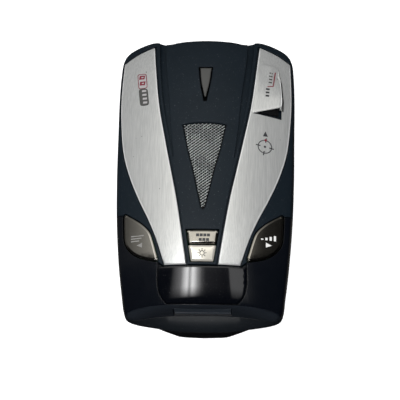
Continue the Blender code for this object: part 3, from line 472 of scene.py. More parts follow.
def plate(name, loop, top, bottom, paint=None, cell=1.4, rings=((0.0, 0.0),), edge_share=False):
    """A closed solid between two height functions over a plan outline.

    Each ring is (distance inwards, drop of the top there). With edge_share the drop is a share of the
    whole height instead, so the top runs down to the bottom at the outline.
    """
    scale = edge_width if edge_share else lambda x, y: 1.0
    loops = [offset(loop, lambda x, y: d * scale(x, y)) if d else list(loop) for d, drop in rings]
    flat = [p for ring in loops for p in ring]
    drops = [drop for d, drop in rings for p in loop]
    core = offset(loops[-1], cell * 0.45)
    xs, ys = [p[0] for p in core], [p[1] for p in core]
    columns, rows = math.ceil((max(xs) - min(xs)) / cell), math.ceil((max(ys) - min(ys)) / cell)
    for j in range(rows + 1):
        for i in range(columns + 1):
            x = min(xs) + (max(xs) - min(xs)) * (i + 0.5 * (j % 2)) / max(columns, 1)
            y = min(ys) + (max(ys) - min(ys)) * j / max(rows, 1)
            if inside(x, y, core):
                flat.append((x, y))
                drops.append(0.0)
    fixed = []
    for r in range(len(loops)):
        first = r * len(loop)
        fixed += [(first + i, first + (i + 1) % len(loop)) for i in range(len(loop))]
    found = delaunay_2d_cdt([Vector(p) for p in flat], fixed, [], 0, 1e-7)
    verts, origins = found[0], found[3]
    faces = [f for f in found[2] if inside(*(sum((verts[i] for i in f), Vector((0, 0))) / 3), loop)]
    points = []
    for v, origin in zip(verts, origins):
        drop = drops[origin[0]] if origin else 0.0
        high, low = top(v.x, v.y), bottom(v.x, v.y)
        points.append((v.x, v.y, high - drop * (high - low) if edge_share else high - drop))
    count = len(verts)
    points += [(v.x, v.y, bottom(v.x, v.y)) for v in verts]
    rim_points = {i for i, origin in enumerate(origins) if origin and origin[0] < len(loop)}
    if edge_share:
        low_of = {i: (i if i in rim_points else count + i) for i in range(count)}
        solid = list(faces) + [tuple(low_of[i] for i in reversed(f)) for f in faces]
    else:
        sides = dict.fromkeys((a, b) for f in faces for a, b in zip(f, f[1:] + f[:1]))
        solid = list(faces) + [tuple(count + i for i in reversed(f)) for f in faces]
        solid += [(b, a, count + a, count + b) for a, b in sides if (b, a) not in sides]
    used = sorted({i for f in solid for i in f})
    renumber = {old: new for new, old in enumerate(used)}
    return mesh_object(name, [points[i] for i in used], [tuple(renumber[i] for i in f) for f in solid], paint)


def carve(piece, tools, joined=(), kept=None):
    """The piece with tools cut away and joined added; the tools are used up."""
    jobs = [(tool, "UNION") for tool in joined] + [(tool, "DIFFERENCE") for tool in tools]
    if kept:
        jobs.insert(0, (kept, "INTERSECT"))
    for tool, operation in jobs:
        change = piece.modifiers.new(tool.name, "BOOLEAN")
        change.operation = operation
        change.object = tool
        change.solver = "EXACT"
    graph = bpy.context.evaluated_depsgraph_get()
    result = bpy.data.meshes.new_from_object(piece.evaluated_get(graph))
    piece.modifiers.clear()
    piece.data = result
    for tool, operation in jobs:
        bpy.data.objects.remove(tool)
    return piece


def smooth(piece, angle=30):
    """Smooth shading, with edges over angle degrees kept sharp."""
    for polygon in piece.data.polygons:
        polygon.use_smooth = True
    piece.data.set_sharp_from_angle(angle=math.radians(angle))
    return piece


def tube(name, runs, radius, paint, sides=6):
    """Wires through the points of each run, all in one mesh."""
    points, faces = [], []
    for run in runs:
        faces += tube_faces(len(run), sides, len(points))
        run = [Vector(p) for p in run]
        for k, p in enumerate(run):
            along = (run[min(k + 1, len(run) - 1)] - run[max(k - 1, 0)]).normalized()
            side = along.cross(Vector((0, 0, 1))).normalized()
            up = side.cross(along)
            for i in range(sides):
                angle = math.tau * i / sides
                points.append(p + side * (radius * math.cos(angle)) + up * (radius * math.sin(angle)))
    return smooth(mesh_object(name, points, faces, paint), 60)


def show(piece, node=None, body="housing"):
    """Puts the finished piece on its body, in place of its CAD node if it has one."""
    if node:
        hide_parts(node)
    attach(piece, body)
    return piece


# ---- outlines used by several pieces


def upper_loop():
    return spline(mirrored(UPPER_HALF), True, 1.6)


def wing_loop():
    inner = spline(WING_INNER, False, 1.6)
    outer = spline(WING_OUTER, False, 1.6)
    front = spline(WING_FRONT, False, 1.2)
    return inner + outer[:-1] + front[:-1]


def side_key_loop():
    return spline(SIDE_KEY, True, 0.8)


def bezel_region(shift):
    """Plan of all that belongs to the bezel; shift moves its front edge forwards."""
    right = [(0.0, BEZEL_EDGE[0][1] + shift)] + [(x - shift * 0.6, y + shift) for x, y in BEZEL_EDGE]
    right.append((BEZEL_EDGE[-1][0], -60.0))
    return mirrored(right + [(0.0, -60.0)])


def shield_loop():
    right = spline(SHIELD_HALF, False, 1.0)
    across = [(x, right[-1][1] - 0.25 * (1 - (x / 14.4) ** 2)) for x in range(13, -14, -1)]
    front = [(x, right[0][1]) for x in range(-16, 17)]
    return right + across + [(-x, y) for x, y in reversed(right)] + front


def trapezoid(key):
    (wide, front), (narrow, rear) = key
    corners = [(-wide, front), (wide, front), (narrow, rear), (-narrow, rear)]
    return rounded(corners, 0.45)


def rounded(corners, radius, steps=3):
    """The polygon with rounded corners and extra points along its sides."""
    made = []
    for i, p in enumerate(corners):
        p = Vector(p)
        a, b = Vector(corners[i - 1]) - p, Vector(corners[(i + 1) % len(corners)]) - p
        start, end = p + a.normalized() * radius, p + b.normalized() * radius
        for k in range(steps + 1):
            t = k / steps
            made.append(tuple(start * (1 - t) ** 2 + p * (2 * t * (1 - t)) + end * t**2))
        reach = b.length - 2 * radius
        extra = int(reach / 1.3)
        made += [tuple(end + b.normalized() * (reach * k / (extra + 1))) for k in range(1, extra + 1)]
    return made


def release_loop(grow):
    """The V of the bracket release, made wider by grow; its hole is longer at the tip."""
    corners = [(2.35 + grow, 43.0 + grow * 0.4), (1.68 + grow, 36.5), (0.42 + grow * 1.2, 30.4)]
    right = spline(corners, False, 1.0) + [(0.2 + grow * 0.9, 29.9 - grow * 3.4)]
    return right + [(-x, y) for x, y in reversed(right)]


# ---- the case

THROUGH_TOP = (20.0, 40.0)  # heights of a tool that cuts right through the top
THROUGH_FRONT = (50.0, 60.0)  # y of a tool that cuts right through the front wall

# Rounded upper edge: distance inwards as a share of its width, drop as a share of its height.
EDGE_SPOTS = (0.02, 0.07, 0.15, 0.27, 0.43, 0.63, 0.83, 1.0)
EDGE = [(0.0, 1.0)] + [(s, 1 - math.sqrt(1 - (1 - s) ** 2)) for s in EDGE_SPOTS]


def grown_span(span):
    """A (low, high) span with the clearance added at both ends."""
    return span[0] - GAP, span[1] + GAP


def upper_shell(name, paint):
    """The upper half as a thick skin: hollow below, before the openings are cut."""
    shell = plate(name, upper_loop(), skin, lambda x, y: PART_Z + GAP / 2, paint, 1.5, EDGE, True)
    plan = offset(upper_loop(), WALL + 0.4)
    room = plate(f"{name}_room", plan, skin_less(SKIN), lambda x, y: PART_Z - 1.0, None, 3.0)
    return shell, room


def pocket(name, loop, depth):
    """The tool that sinks a trim piece into the skin."""
    return plate(name, loop, lambda x, y: TOP_Z + 4.0, skin_less(depth), None, 1.8)


def upper_case(paint):
    """The upper half with its pockets, valleys, key gaps and openings."""
    shell, room = upper_shell("upper_case_skin", paint)
    tools = [room, prism("bezel_side", bezel_region(GAP / 2), 0.0, 45.0)]
    inner = len(spline(WING_INNER, False, 1.6))
    valley = spline(VALLEY[:5], False, 1.6) + spline(VALLEY[5:], False, 1.6)
    floor = lambda x, y: skin(x, y) - VALLEY_REAR_DEPTH - VALLEY_SLOPE * max(0.0, y - VALLEY_REAR_Y)
    for turn in (list, flipped):
        grown = [(x - (WING_SHADOW if i < inner else 0.0), y) for i, (x, y) in enumerate(offset(wing_loop(), -GAP))]
        grown = turn([(x, y if y > -35.0 else -37.0) for x, y in grown])
        tools.append(pocket("wing_pocket", grown, TRIM + GAP))
        tools.append(plate("valley", turn(valley), lambda x, y: 40.0, floor, None, 1.6))
        tools.append(prism("key_gap", offset(turn(side_key_loop()), -KEY_GAP), 12.0, 40.0))
    centre_keys = [(-6.4, -22.65), (6.4, -22.65), (4.5, -34.95), (-4.5, -34.95)]
    bore = [(JACK_RADIUS + GAP, 29.0), (JACK_RADIUS + GAP, 38.0)]
    tools += [
        prism("centre_key_hole", centre_keys, *THROUGH_TOP),
        prism("release_hole", release_loop(RELEASE_GAP), *THROUGH_TOP),
        pocket("grille_pocket", offset(grille_loop(), -GAP), 1.35),
        prism("sound_opening", mirrored(SOUND_HALF), 24.0, 40.0),
        box("slot_hole", (-11.8, 11.8), THROUGH_FRONT, (SLOT_Z0 - 1.3, SLOT_Z1 + 1.3)),
        box("lens_hole", grown_span(LENS_X), THROUGH_FRONT, grown_span(LENS_Z)),
        box("wheel_slot", (-38.0, -29.0), (WHEEL_Y - 5.5, WHEEL_Y + 5.5), (10.0, WHEEL_Z1 + GAP)),
        turned("jack_hole", bore, (0, JACK_Y, JACK_Z), "X"),
    ]
    return smooth(carve(shell, tools))


def rear_bezel(paint):
    """The bezel is the rear part of the same shell, with the shield's pocket and the window."""
    shell, room = upper_shell("bezel_skin", paint)
    sides = side_key_loop(), flipped(side_key_loop())
    tools = [room] + [prism("bezel_key_gap", offset(side, -KEY_GAP), 12.0, 40.0) for side in sides]
    grown = [(x, y if y < -37.0 else -35.0) for x, y in offset(shield_loop(), -GAP)]
    tools.append(pocket("shield_pocket", grown, TRIM + GAP))
    window = grown_span((-WINDOW_HALF, WINDOW_HALF)), (-58.0, -47.5), grown_span((WINDOW_Z0, WINDOW_Z1))
    tools.append(box("window_hole", *window))
    return smooth(carve(shell, tools, kept=prism("front_side", bezel_region(-GAP / 2), 0.0, 45.0)))


def resampled(loop, count):
    """The closed loop as count points evenly spaced along it from its first point."""
    lengths = [0.0]
    for a, b in zip(loop, loop[1:] + loop[:1]):
        lengths.append(lengths[-1] + math.dist(a, b))
    made = []
    k = 0
    for i in range(count):
        at = lengths[-1] * i / count
        while lengths[k + 1] < at:
            k += 1
        t = (at - lengths[k]) / (lengths[k + 1] - lengths[k])
        a, b = loop[k], loop[(k + 1) % len(loop)]
        made.append((a[0] + (b[0] - a[0]) * t, a[1] + (b[1] - a[1]) * t))
    return made


def loft(name, sections, paint=None):
    """A solid through (z, loop) sections of equal length."""
    points = [(x, y, z) for z, loop in sections for x, y in loop]
    return mesh_object(name, points, tube_faces(len(sections), len(sections[0][1])), paint)


def chin_apron(count):
    """The low middle part of the hull that stands out to the rear under the chin."""
    chin = LOWER_HALF[:-8:-1]
    sections = []
    for z, half, out, front in APRON:
        loop = [(half, front), (-half, front)]
        for k in range(count + 1):
            u = 2.0 * k / count - 1.0
            x = abs(u) * half
            a, b = next((a, b) for a, b in zip(chin, chin[1:]) if x <= b[0])
            y = a[1] + (b[1] - a[1]) * (x - a[0]) / (b[0] - a[0])
            loop.append((u * half, y - out * (1.0 - u**6) + (0.8 * u**6 if out > 0 else 0.0)))
        sections.append((z, loop))
    return loft("chin_apron", sections)


def lower_case(paint):
    """The hull under the parting plane; its rear chin slopes out to an edge below the display."""
    top = resampled(upper_loop(), 260)
    edge = resampled(spline(mirrored(LOWER_HALF), True, 1.6), 260)
    sections = [(z, [(x * sx, y * sy) for x, y in edge]) for z, sx, sy in HULL]
    for z, t in HULL_RISE:
        sections.append((z, [(a[0] + (b[0] - a[0]) * t, a[1] + (b[1] - a[1]) * t) for a, b in zip(edge, top)]))
    shell = loft("hull_shell", sections, paint)
    room = [(x * 0.93, y * 0.915) for x, y in top]
    tools = [loft("hull_room", [(4.0, [(x * 0.8, y * 0.85) for x, y in top]), (PART_Z + 1.0, room)])]
    for x, y in CASE_SCREWS:
        tools.append(turned("screw_well", [(2.5, -1.0), (2.5, 2.3)], (x, y, 0)))
    tools.append(box("label_recess", grown_span(LABEL_X), grown_span(LABEL_Y), (-1.0, 0.5)))
    return smooth(carve(shell, tools, joined=[chin_apron(48)]))


# ---- trim

# Rounded edges: distance inwards and drop of the top there.
LIP = [(0.0, 0.42), (0.07, 0.24), (0.18, 0.1), (0.34, 0.02), (0.5, 0.0)]


def paint_edge_highlight(piece, loop, width, paint):
    """Paints a highlight on the faces of the piece's bevel, within width of the outline."""
    piece.data.materials.append(paint)
    grid = {}
    for x, y in spline(loop, True, 0.5):
        grid.setdefault((int(x // 2), int(y // 2)), []).append((x, y))
    for polygon in piece.data.polygons:
        x, y = polygon.center.x / MM, polygon.center.y / MM
        squares = [(int(x // 2) + i, int(y // 2) + j) for i in (-1, 0, 1) for j in (-1, 0, 1)]
        near = [p for square in squares for p in grid.get(square, ())]
        if near and min(math.dist(p, (x, y)) for p in near) < width + 0.2:
            polygon.material_index = 1
    return piece


def paint_where(piece, paint, chosen):
    """Paints the faces for which chosen(centre in mm, normal) holds."""
    piece.data.materials.append(paint)
    index = len(piece.data.materials) - 1
    for polygon in piece.data.polygons:
        if chosen(polygon.center / MM, polygon.normal):
            polygon.material_index = index
    return piece


def right_wing(paint, edge, shadow):
    """The right panel with the hood over the rear laser sensor, open to the rear."""
    panel = plate("right_wing_panel", wing_loop(), skin, skin_less(TRIM), paint, 1.4, LIP)
    loop = rounded(HOOD_LOOP, 0.9, 2)
    hood = plate("hood_body", loop, hood_roof, skin_less(0.6), None, 0.9, [(0.0, 0.35), (0.12, 0.12), (0.3, 0.02)])
    roof = lambda x, y: hood_roof(x, y) - HOOD_ROOF
    cavity = plate("hood_cavity", HOOD_CAVITY, roof, skin_less(3.0), None, 1.0)
    carve(panel, [prism("hood_mouth", HOOD_MOUTH, 15.0, 40.0), cavity], joined=[hood])
    # Painted highlight along the wing's outline.
    paint_edge_highlight(panel, wing_loop(), 0.12, edge)
    # Painted shade: the faces deep inside the hood's mouth and on its outer side wall get the shadow paint.
    mouth = lambda c: 18.0 < c.x < 29.0 and 22.0 < c.y < 37.0 and c.z < hood_roof(c.x, c.y) - 0.55
    deep = lambda c: inside(c.x, c.y, offset(HOOD_CAVITY, -0.15)) and mouth(c)
    side = lambda c, n: n.x > 0.7 and 26.0 < c.y < 46.0 and 27.8 < c.x < 31.0 and c.z < hood_roof(c.x, c.y) - 0.1
    return smooth(paint_where(panel, shadow, lambda c, n: deep(c) or side(c, n)))


def hood_lens(paint):
    """The dark lens that rises towards the front inside the hood."""
    loop = [(20.2, 24.95), (28.35, 24.55), (28.35, 29.4), (21.6, 27.1)]
    rear = min(y for x, y in loop)
    top = lambda x, y: min(hood_roof(x, y) - HOOD_ROOF - 0.5, skin(x, y) - 0.3 + 0.4 * (y - rear))
    return smooth(plate("hood_lens", loop, top, skin_less(TRIM), paint, 0.8))


def grille_loop():
    half = spline(GRILLE_HALF[:3], False, 1.0)[:-1] + spline(GRILLE_HALF[2:], False, 1.2)
    return mirrored(half + [(0.0, -15.0)])


def grille(paints):
    """A woven mesh of two wire directions on a dark backing, in a thin frame."""
    loop = grille_loop()
    backing = smooth(plate("grille_backing", loop, skin_less(0.95), skin_less(1.1), paints["black_and_shade"], 1.5))
    limit = offset(loop, 0.15)
    runs = []
    wide, high, step = 1.52, 1.14, 0.19  # size of a diamond, distance between points of a wire
    wires = []
    for side, radius, paint in ((1, 0.15, paints["mesh"]), (-1, 0.085, paints["zinc"])):
        runs = []
        for k in range(-40, 60):
            run = []
            for i in range(-60, 61):
                x = i * step
                y = (k - 5 + side * x / wide) * high
                if inside(x, y, limit):
                    run.append((x, y, skin(x, y) - 0.5 + 0.11 * side * math.cos(math.tau * x / wide)))
                else:
                    runs.append(run)
                    run = []
        wires.append(tube("grille_wires", [run for run in runs if len(run) > 2], radius, paint, 6))
    wires[1].parent = wires[0]
    wires[0].parent = backing
    return backing


def decal(name, loop, paint, lift=0.02, surface=skin):
    """A printed mark: a thin plate that stands lift proud of the surface."""
    return smooth(plate(name, loop, lambda x, y: surface(x, y) + lift, lambda x, y: surface(x, y) - 0.1, paint, 0.8))


def ring(centre, outer, inner, sides=40):
    """Two half-ring outlines, since a plan outline has no hole."""
    x0, y0 = centre
    halves = []
    for start in (0.0, math.pi):
        arc = [start + math.pi * k / sides for k in range(sides + 1)]
        loop = [(x0 + outer * math.cos(a), y0 + outer * math.sin(a)) for a in arc]
        halves.append(loop + [(x0 + inner * math.cos(a), y0 + inner * math.sin(a)) for a in reversed(arc)])
    return halves


def bar(a, b, width):
    """A thin straight outline from a to b."""
    a, b = Vector(a), Vector(b)
    side = Vector((a.y - b.y, b.x - a.x)).normalized() * (width / 2)
    return [tuple(a + side), tuple(b + side), tuple(b - side), tuple(a - side)]


# ---- controls

KEY_LIP = [(0.0, 0.55), (0.1, 0.38), (0.55, 0.12), (0.7, 0.05), (0.85, 0.03), (1.0, 0.03)]


def key(name, loop, paint):
    """A plated key, a little proud of the skin."""
    return smooth(plate(name, loop, skin_less(-0.15), skin_less(KEY_DEPTH), paint, 0.8, KEY_LIP), 24)


def volume_wheel(paint):
    """A knurled thumbwheel."""
    loop = []
    for k in range(240):
        angle = math.tau * k / 240
        radius = WHEEL_RADIUS - 0.3 * (0.5 - 0.5 * math.cos(30 * angle)) ** 0.5
        loop.append((WHEEL_X + radius * math.cos(angle), WHEEL_Y + radius * math.sin(angle)))
    return smooth(prism("wheel_rim", loop, WHEEL_Z0, WHEEL_Z1, paint))


# ---- everything together


def main(m):
    """Every visible piece; the CAD solids themselves show the inside."""
    # Painted shade: the release hole's walls are painted near-black.
    hole = lambda c, n: abs(n.z) < 0.6 and abs(c.x) < 4.0 and 25.0 < c.y < 46.0
    show(paint_where(upper_case(m["case"]), m["black_and_shade"], hole), "upper_case")
    # Painted shade: the hull's low rear apron under the chin is painted near-black.
    apron = lambda c, n: c.y < -50.0 and c.z < 6.9
    show(paint_where(lower_case(m["hull"]), m["black_and_shade"], apron), "lower_case")
    show(rear_bezel(m["bezel"]), "rear_bezel")
    left = smooth(plate("left_wing_panel", flipped(wing_loop()), skin, skin_less(TRIM), m["silver"], 1.4, LIP))
    # Painted highlight along the left wing's outline.
    show(paint_edge_highlight(left, flipped(wing_loop()), 0.12, m["edge"]), "left_wing")
    show(right_wing(m["silver"], m["edge"], m["black_and_shade"]), "right_wing")
    show(hood_lens(m["black_and_shade"]), "rear_laser_lens")
    show(grille(m), "speaker_grille")
    shield = plate("shield_panel", shield_loop(), skin, skin_less(TRIM), m["gloss"], 1.2, LIP)
    show(smooth(shield), "display_shield")
    marks(m)
    rear_face(m)
    side_and_front(m)
    keys(m)
    release_and_wheel(m)
    base(m)


def marks(m):
    """Plain marks where the real wings are printed: a pill, a compass and a corner flash, with no letters; also a
    painted highlight on the hood's rim and a painted shadow beside its outer edge.
    """
    mark = lambda name, loop, ink, *settings: show(decal(name, loop, m[ink], *settings))
    pill_x = lambda y, x: x + 0.125 * (42.4 - y)  # the pill leans like the wing
    quad = lambda a, b, w0, w1: [
        (pill_x(a, -27.25) + w0, a), (pill_x(a, -27.25) + w1, a - 0.3),
        (pill_x(b, -27.25) + w1, b - 0.1), (pill_x(b, -27.25) + w0, b),
    ]
    mark("pill_rim", rounded(quad(42.4, 35.6, 0.0, 3.7), 0.9), "red", 0.02)
    mark("pill_top", rounded(quad(42.1, 35.8, 0.28, 3.42), 0.7), "faded", 0.04)
    mark("pill_low", rounded(quad(35.7, 28.0, 0.0, 3.7), 1.2), "grey", 0.03)
    for k in range(2):
        y = 40.6 - 2.7 * k
        x = pill_x(y, -25.45)
        mark(f"pill_block_{k}", bar((x - 1.1, y + 0.1), (x + 1.1, y - 0.1), 1.7), "red", 0.06)
        mark(f"pill_gap_{k}", bar((x - 0.3, y + 0.05), (x + 0.6, y - 0.05), 0.55), "faded", 0.08)
    for k in range(4):
        y = 34.4 - 1.7 * k
        x = pill_x(y, -25.35)
        mark(f"pill_bar_{k}", bar((x - 0.6, y + 0.06), (x + 1.1, y - 0.06), 0.85), "faded", 0.08)
    centre = (23.1, 11.1)
    turns = [k * math.tau / 16 for k in range(16)]
    spot = lambda x, y, r: [(x + r * math.cos(turn), y + r * math.sin(turn)) for turn in turns]
    for k, half in enumerate(ring(centre, 2.75, 2.4)):
        mark(f"compass_ring_{k}", half, "ink", 0.02)
    for k in range(4):
        angle = math.pi / 2 * k - 0.15
        a = (centre[0] + 1.7 * math.cos(angle), centre[1] + 1.7 * math.sin(angle))
        b = (centre[0] + 3.5 * math.cos(angle), centre[1] + 3.5 * math.sin(angle))
        mark(f"compass_tick_{k}", bar(a, b, 0.42), "ink", 0.03)
    mark("compass_pointer", [(23.3, 17.4), (22.3, 15.3), (24.2, 15.3)], "ink", 0.02)
    mark("compass_dot", spot(*centre, 0.45), "ink", 0.02)
    mark("compass_mark", spot(23.4, 13.75, 0.5), "red", 0.06)
    for k, (a, b) in enumerate((((27.0, 43.2), (26.2, 36.6)), ((26.3, 36.5), (24.0, 36.1)))):
        mark(f"hood_flash_{k}", bar(a, b, 0.42), "red", 0.03, hood_roof)
    # Painted highlight: a light strip along the hood's rim.
    rim = [(28.15, 45.2), (29.15, 38.0), (29.6, 31.0), (29.45, 27.6), (29.1, 27.5), (29.3, 31.0), (28.85, 38.0)]
    mark("hood_rim_highlight", rim, "edge", 0.03, hood_roof)
    # Painted shadow: a dark strip beside the hood's outer edge, where its side lies in shade.
    shade = [(28.3, 46.0), (29.4, 38.0), (29.9, 31.0), (29.7, 27.0), (30.2, 26.6), (30.35, 31.0), (29.7, 38.0)]
    mark("hood_shade", shade, "black_and_shade", 0.03)
    for name, count, (x0, x1), y0, pitch, width, ink in (
        ("hood_row", 4, (24.7, 26.0), 42.6, 1.45, 0.6, "grey"),
        ("hood_bar", 3, (23.4, 24.8), 35.0, 1.5, 0.8, "ink"),
    ):
        for k in range(count):
            y = y0 - pitch * k
            row = bar((x0 - 0.1 * k, y), (x1 - 0.1 * k, y - 0.1), width)
            mark(f"{name}_{k}", row, ink, 0.03, hood_roof)


def rear_face(m):
    """The display window in the rear wall."""
    pane = [
        (-49.8, WINDOW_Z0), (-51.3, WINDOW_Z0), (-51.2, 14.5), (-50.8, 14.6), (-50.8, 15.0), (-51.15, 15.1),
        (-50.8, WINDOW_Z1), (-49.3, WINDOW_Z1),
    ]
    made = along_x("window_pane", pane, (-WINDOW_HALF, WINDOW_HALF), m["pane"])
    show(smooth(made), "display_window")


def side_and_front(m):
    """The front lens, the liner of the bracket slot and the power inlet with its pin."""
    show(smooth(box("front_pane", LENS_X, (53.3, 55.2), LENS_Z, m["smoked"])), "front_lens")
    outer = (SLOT_BACK_Y - LINER, SLOT_FRONT_Y), (SLOT_Z0 - LINER, SLOT_Z1 + LINER)
    guide = box("guide_liner", (-SLOT_HALF - LINER, SLOT_HALF + LINER), *outer, m["rail"])
    tools = [box("blade_slot", (-SLOT_HALF, SLOT_HALF), (SLOT_BACK_Y, 60.0), (SLOT_Z0, SLOT_Z1))]
    tools.append(box("catch_window", (-1.6, 1.6), (41.6, 44.5), (SLOT_Z0 - 2.0, SLOT_Z0 + 1.0)))
    show(smooth(carve(guide, tools)), "bracket_guide")
    axis = (0, JACK_Y, JACK_Z)
    block = box("jack_block", (24.6, 31.7), (JACK_Y - 3.0, JACK_Y + 3.0), (11.6, 17.3), m["rail"])
    nose = turned("jack_nose", [(JACK_RADIUS, 30.0), (JACK_RADIUS, 33.6), (JACK_RADIUS - 0.3, 33.9)], axis, "X", 48)
    bore = turned("jack_bore", [(1.7, 26.0), (1.7, 33.5), (2.1, 34.0)], axis, "X", 48)
    show(smooth(carve(block, [bore], joined=[nose])), "power_jack")
    pin = turned("jack_pin", [(0.5, 25.5), (0.5, 32.7), (0.3, 33.0)], axis, "X", 24, m["zinc"])
    show(smooth(pin))


def icon_loops(kind, x, y):
    """Outlines of a small icon at (x, y): a sun, rising bars, two rows of blocks or shrinking lines."""
    if kind == "sun":
        loops = ring((x, y), 0.95, 0.68, 12)
        for k in range(8):
            c, s = math.cos(k * math.tau / 8), math.sin(k * math.tau / 8)
            loops.append(bar((x + 1.15 * c, y + 1.15 * s), (x + 1.7 * c, y + 1.7 * s), 0.3))
        return loops
    if kind == "bars":
        loops = [bar((x - 2.4 + 1.6 * k, y), (x - 2.4 + 1.6 * k, y + 0.5 * (k + 1)), 0.85) for k in range(4)]
        return loops + [[(x - 1.0, y - 0.9), (x - 1.0, y - 2.7), (x + 1.3, y - 1.8)]]
    if kind == "steps":
        upper = [(x - 2.3 + 1.35 * k, y + 0.55) for k in range(4)]
        lower = [(x - 1.3 + 1.35 * k, y - 1.15) for k in range(3)]
        return [bar((a, b), (a + 1.12, b), 1.05) for a, b in upper + lower]
    loops = [bar((x - 2.6, y + 1.7 - 0.95 * k), (x + 2.4 - 0.9 * k, y + 1.7 - 0.95 * k), 0.5) for k in range(3)]
    return loops + [[(x + 1.8, y - 1.0), (x + 1.8, y - 2.8), (x - 0.4, y - 1.9)]]


def keys(m):
    """The four keys, each with its generic icon."""
    raised = lambda x, y: skin(x, y) + 0.16
    # The keys' darker and lighter chromes are painted shade and painted highlight.
    pieces = {
        "mute": (flipped(side_key_loop()), m["chrome"], m["sign"], ("lines", -24.6, -26.0)),
        "city": (side_key_loop(), m["chrome_painted_shade"], m["white"], ("bars", 24.7, -25.6)),
        "save": (trapezoid(SAVE_KEY), m["chrome_painted_shade"], m["ink"], ("steps", 0.0, -25.6)),
        "dim": (trapezoid(DIM_KEY), m["chrome_painted_highlight"], m["ink"], ("sun", 0.0, -31.7)),
    }
    for name, (loop, finish, ink, icon) in pieces.items():
        body = f"{name}_key"
        show(key(f"{name}_cap", loop, finish), f"{name}_button", body)
        for k, outline in enumerate(icon_loops(*icon)):
            show(decal(f"{name}_icon_{k}", outline, ink, 0.03, raised), body=body)


def release_and_wheel(m):
    """The bracket release with its hook over a black floor of painted shade, and the volume wheel."""
    lip = [(0.0, 0.5), (0.1, 0.25), (0.3, 0.08), (0.5, 0.0)]
    cap = plate("release_cap", release_loop(-0.08), skin_less(0.2), skin_less(2.4), m["grey"], 0.7, lip)
    z = SLOT_Z0
    hook = [
        (36.2, 27.4), (36.2, z - 3.0), (44.0, z - 3.0), (44.0, z + 0.3), (42.4, z + 1.5), (42.0, z + 1.5),
        (42.0, z - 1.4), (37.8, z - 1.4), (37.8, 27.4),
    ]
    # Painted shade: the cap's faces below the skin, down in its hole, are painted near-black.
    paint_where(cap, m["black_and_shade"], lambda c, n: c.z < skin(c.x, c.y) - 0.5)
    stem = along_x("release_stem", hook, (-1.2, 1.2), m["black_and_shade"])
    stem.parent = cap
    show(smooth(cap), "release_button", "release")
    # Painted shade: a black sheet under the release hole, so the hole reads dark.
    show(box("release_shade_floor", (-3.4, 3.4), (26.5, 35.6), (23.75, 24.1), m["black_and_shade"]))
    show(volume_wheel(m["grey"]), "volume_wheel", "volume")


def base(m):
    """The four case screws and the blank label on the underside."""
    profile = [(1.7, 0.5), (2.05, 0.75), (2.1, 1.0), (2.1, 1.9), (1.1, 1.9), (1.1, 14.5)]
    for k, (x, y) in enumerate(CASE_SCREWS):
        cross = [
            box("cross_wide", (x - 1.3, x + 1.3), (y - 0.3, y + 0.3), (-1, 1.1)),
            box("cross_deep", (x - 0.3, x + 0.3), (y - 1.3, y + 1.3), (-1, 1.1)),
        ]
        screw = turned(f"screw_{k + 1}", profile, (x, y, 0), sides=40, paint=m["zinc"])
        show(smooth(carve(screw, cross)), f"case_screw_{k + 1}")
    show(box("blank_label", LABEL_X, LABEL_Y, (0.05, 0.2), m["label"]), "rating_label")


# ---- ground, light and camera


def sky(tree):
    """Soft light that is brighter on the left; reflections see a bright ceiling, a dark right side, a dark
    rear and the streaks of a window."""
    combine = lambda a, b, how: add(tree, "ShaderNodeVectorMath", {0: a, 1: b}, operation=how).outputs[0]
    share = lambda axis: add(tree, "ShaderNodeMapRange", {0: axis, 1: -1.0, 2: 1.0}).outputs[0]
    where = add(tree, "ShaderNodeSeparateXYZ", {0: add(tree, "ShaderNodeTexCoord").outputs["Generated"]})
    across, along, up = share(where.outputs[0]), share(where.outputs[1]), where.outputs[2]
    height = ramp(tree, up, [(0.0, 0.10), (0.45, 0.16), (0.80, 0.5), (0.97, 1.25)])
    sides = ramp(tree, across, [(0.10, 0.55), (0.35, 0.95), (0.54, 1.0), (0.60, 0.8), (0.72, 0.3), (0.85, 0.06)])
    rear = ramp(tree, along, [(0.26, 0.03), (0.40, 0.05), (0.44, 0.3), (0.48, 1.0), (1.0, 0.8)])
    seen = combine(combine(height, sides, "MULTIPLY"), rear, "MULTIPLY")
    streaks = [
        (0.29, 0.0), (0.35, 1.6), (0.388, 9.5), (0.403, 2.6), (0.42, 10.0), (0.45, 3.0), (0.475, 0.6),
        (0.50, 0.12), (0.645, 0.02), (0.65, 0.85), (0.735, 0.8), (0.745, 0.0),
    ]
    window = ramp(tree, across, streaks)
    low = ramp(tree, along, [(0.17, 0.0), (0.24, 1.0), (0.40, 1.0), (0.46, 0.0)])
    above = ramp(tree, up, [(0.35, 0.0), (0.5, 1.0)])
    window = combine(combine(window, low, "MULTIPLY"), above, "MULTIPLY")
    seen = combine(combine(seen, (1.0, 0.975, 0.92), "MULTIPLY"), window, "ADD")
    soft = combine(ramp(tree, across, [(0.0, 1.0), (0.45, 0.95), (1.0, 0.55)]), (0.90, 0.91, 0.93), "MULTIPLY")
    glossy = add(tree, "ShaderNodeLightPath").outputs["Is Glossy Ray"]
    back = tree.nodes["Background"]
    tree.links.new(mix(tree, glossy, soft, seen), back.inputs[0])
    back.inputs[1].default_value = 1.0


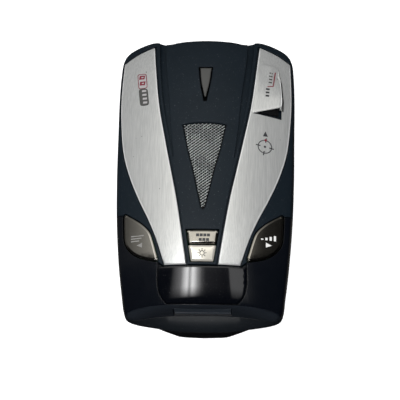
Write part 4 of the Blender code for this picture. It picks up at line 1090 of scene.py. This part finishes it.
def studio():
    """A white ground that doesn't show in reflections, the sky and two lamps."""
    floor = box("floor", (-3000, 3000), (-3000, 3000), (-20, 0))
    paint, tree, shader = nodes_of("paper")
    settle(shader, {"Base Color": (0.93, 0.93, 0.93, 1), "Roughness": 0.9, "Specular IOR Level": 0.0})
    settle(shader, {"Emission Color": (1, 1, 1, 1), "Emission Strength": 0.5})
    floor.visible_glossy = False
    floor.visible_diffuse = False
    floor.data.materials.append(paint)
    bpy.context.scene.view_settings.view_transform = "Standard"
    world = bpy.data.worlds.new("studio")
    world.use_nodes = True
    sky(world.node_tree)
    bpy.context.scene.world = world
    lamps = [
        ("overhead", (-0.05, -0.10, 0.85), (0, 0, 0.02), 0.7, 0.5, 4.0),
        ("rear_strip", (0.05, -0.60, 0.75), (0, -0.02, 0.02), 0.9, 0.25, 2.5),
    ]
    for name, at, to, wide, deep, power in lamps:
        data = bpy.data.lights.new(name, "AREA")
        data.shape = "RECTANGLE"
        data.size, data.size_y, data.energy = wide, deep, power
        lamp = bpy.data.objects.new(name, data)
        lamp.location = at
        lamp.rotation_euler = (Vector(to) - Vector(at)).to_track_quat("-Z", "Y").to_euler()
        lamp.visible_glossy = False
        bpy.context.scene.collection.objects.link(lamp)


def camera():
    """The photo's view: from above, leaning to the rear, with a slight turn."""
    data = bpy.data.cameras.new("camera")
    data.sensor_width = 36.0
    data.lens = 121.7
    data.shift_x, data.shift_y = -0.01125, -0.025
    data.clip_start, data.clip_end = 0.01, 20.0
    target, distance = Vector((0.0, -0.0042, 0.020)), 0.520
    lean_right, lean_rear, roll = math.radians(2.5), math.radians(17.0), math.radians(1.14)
    away = Vector((math.sin(lean_right), -math.sin(lean_rear), 0.0))
    away.z = math.sqrt(1 - away.x**2 - away.y**2)
    up = Vector((0, 1, 0))
    up = (up - up.dot(-away) * -away).normalized()
    right = (-away).cross(up)
    right, up = right * math.cos(roll) + up * math.sin(roll), up * math.cos(roll) - right * math.sin(roll)
    made = bpy.data.objects.new("camera", data)
    made.matrix_world = Matrix.Translation(target + away * distance) @ Matrix((right, up, away)).transposed().to_4x4()
    bpy.context.scene.collection.objects.link(made)
    bpy.context.scene.camera = made


main(materials())
studio()
camera()
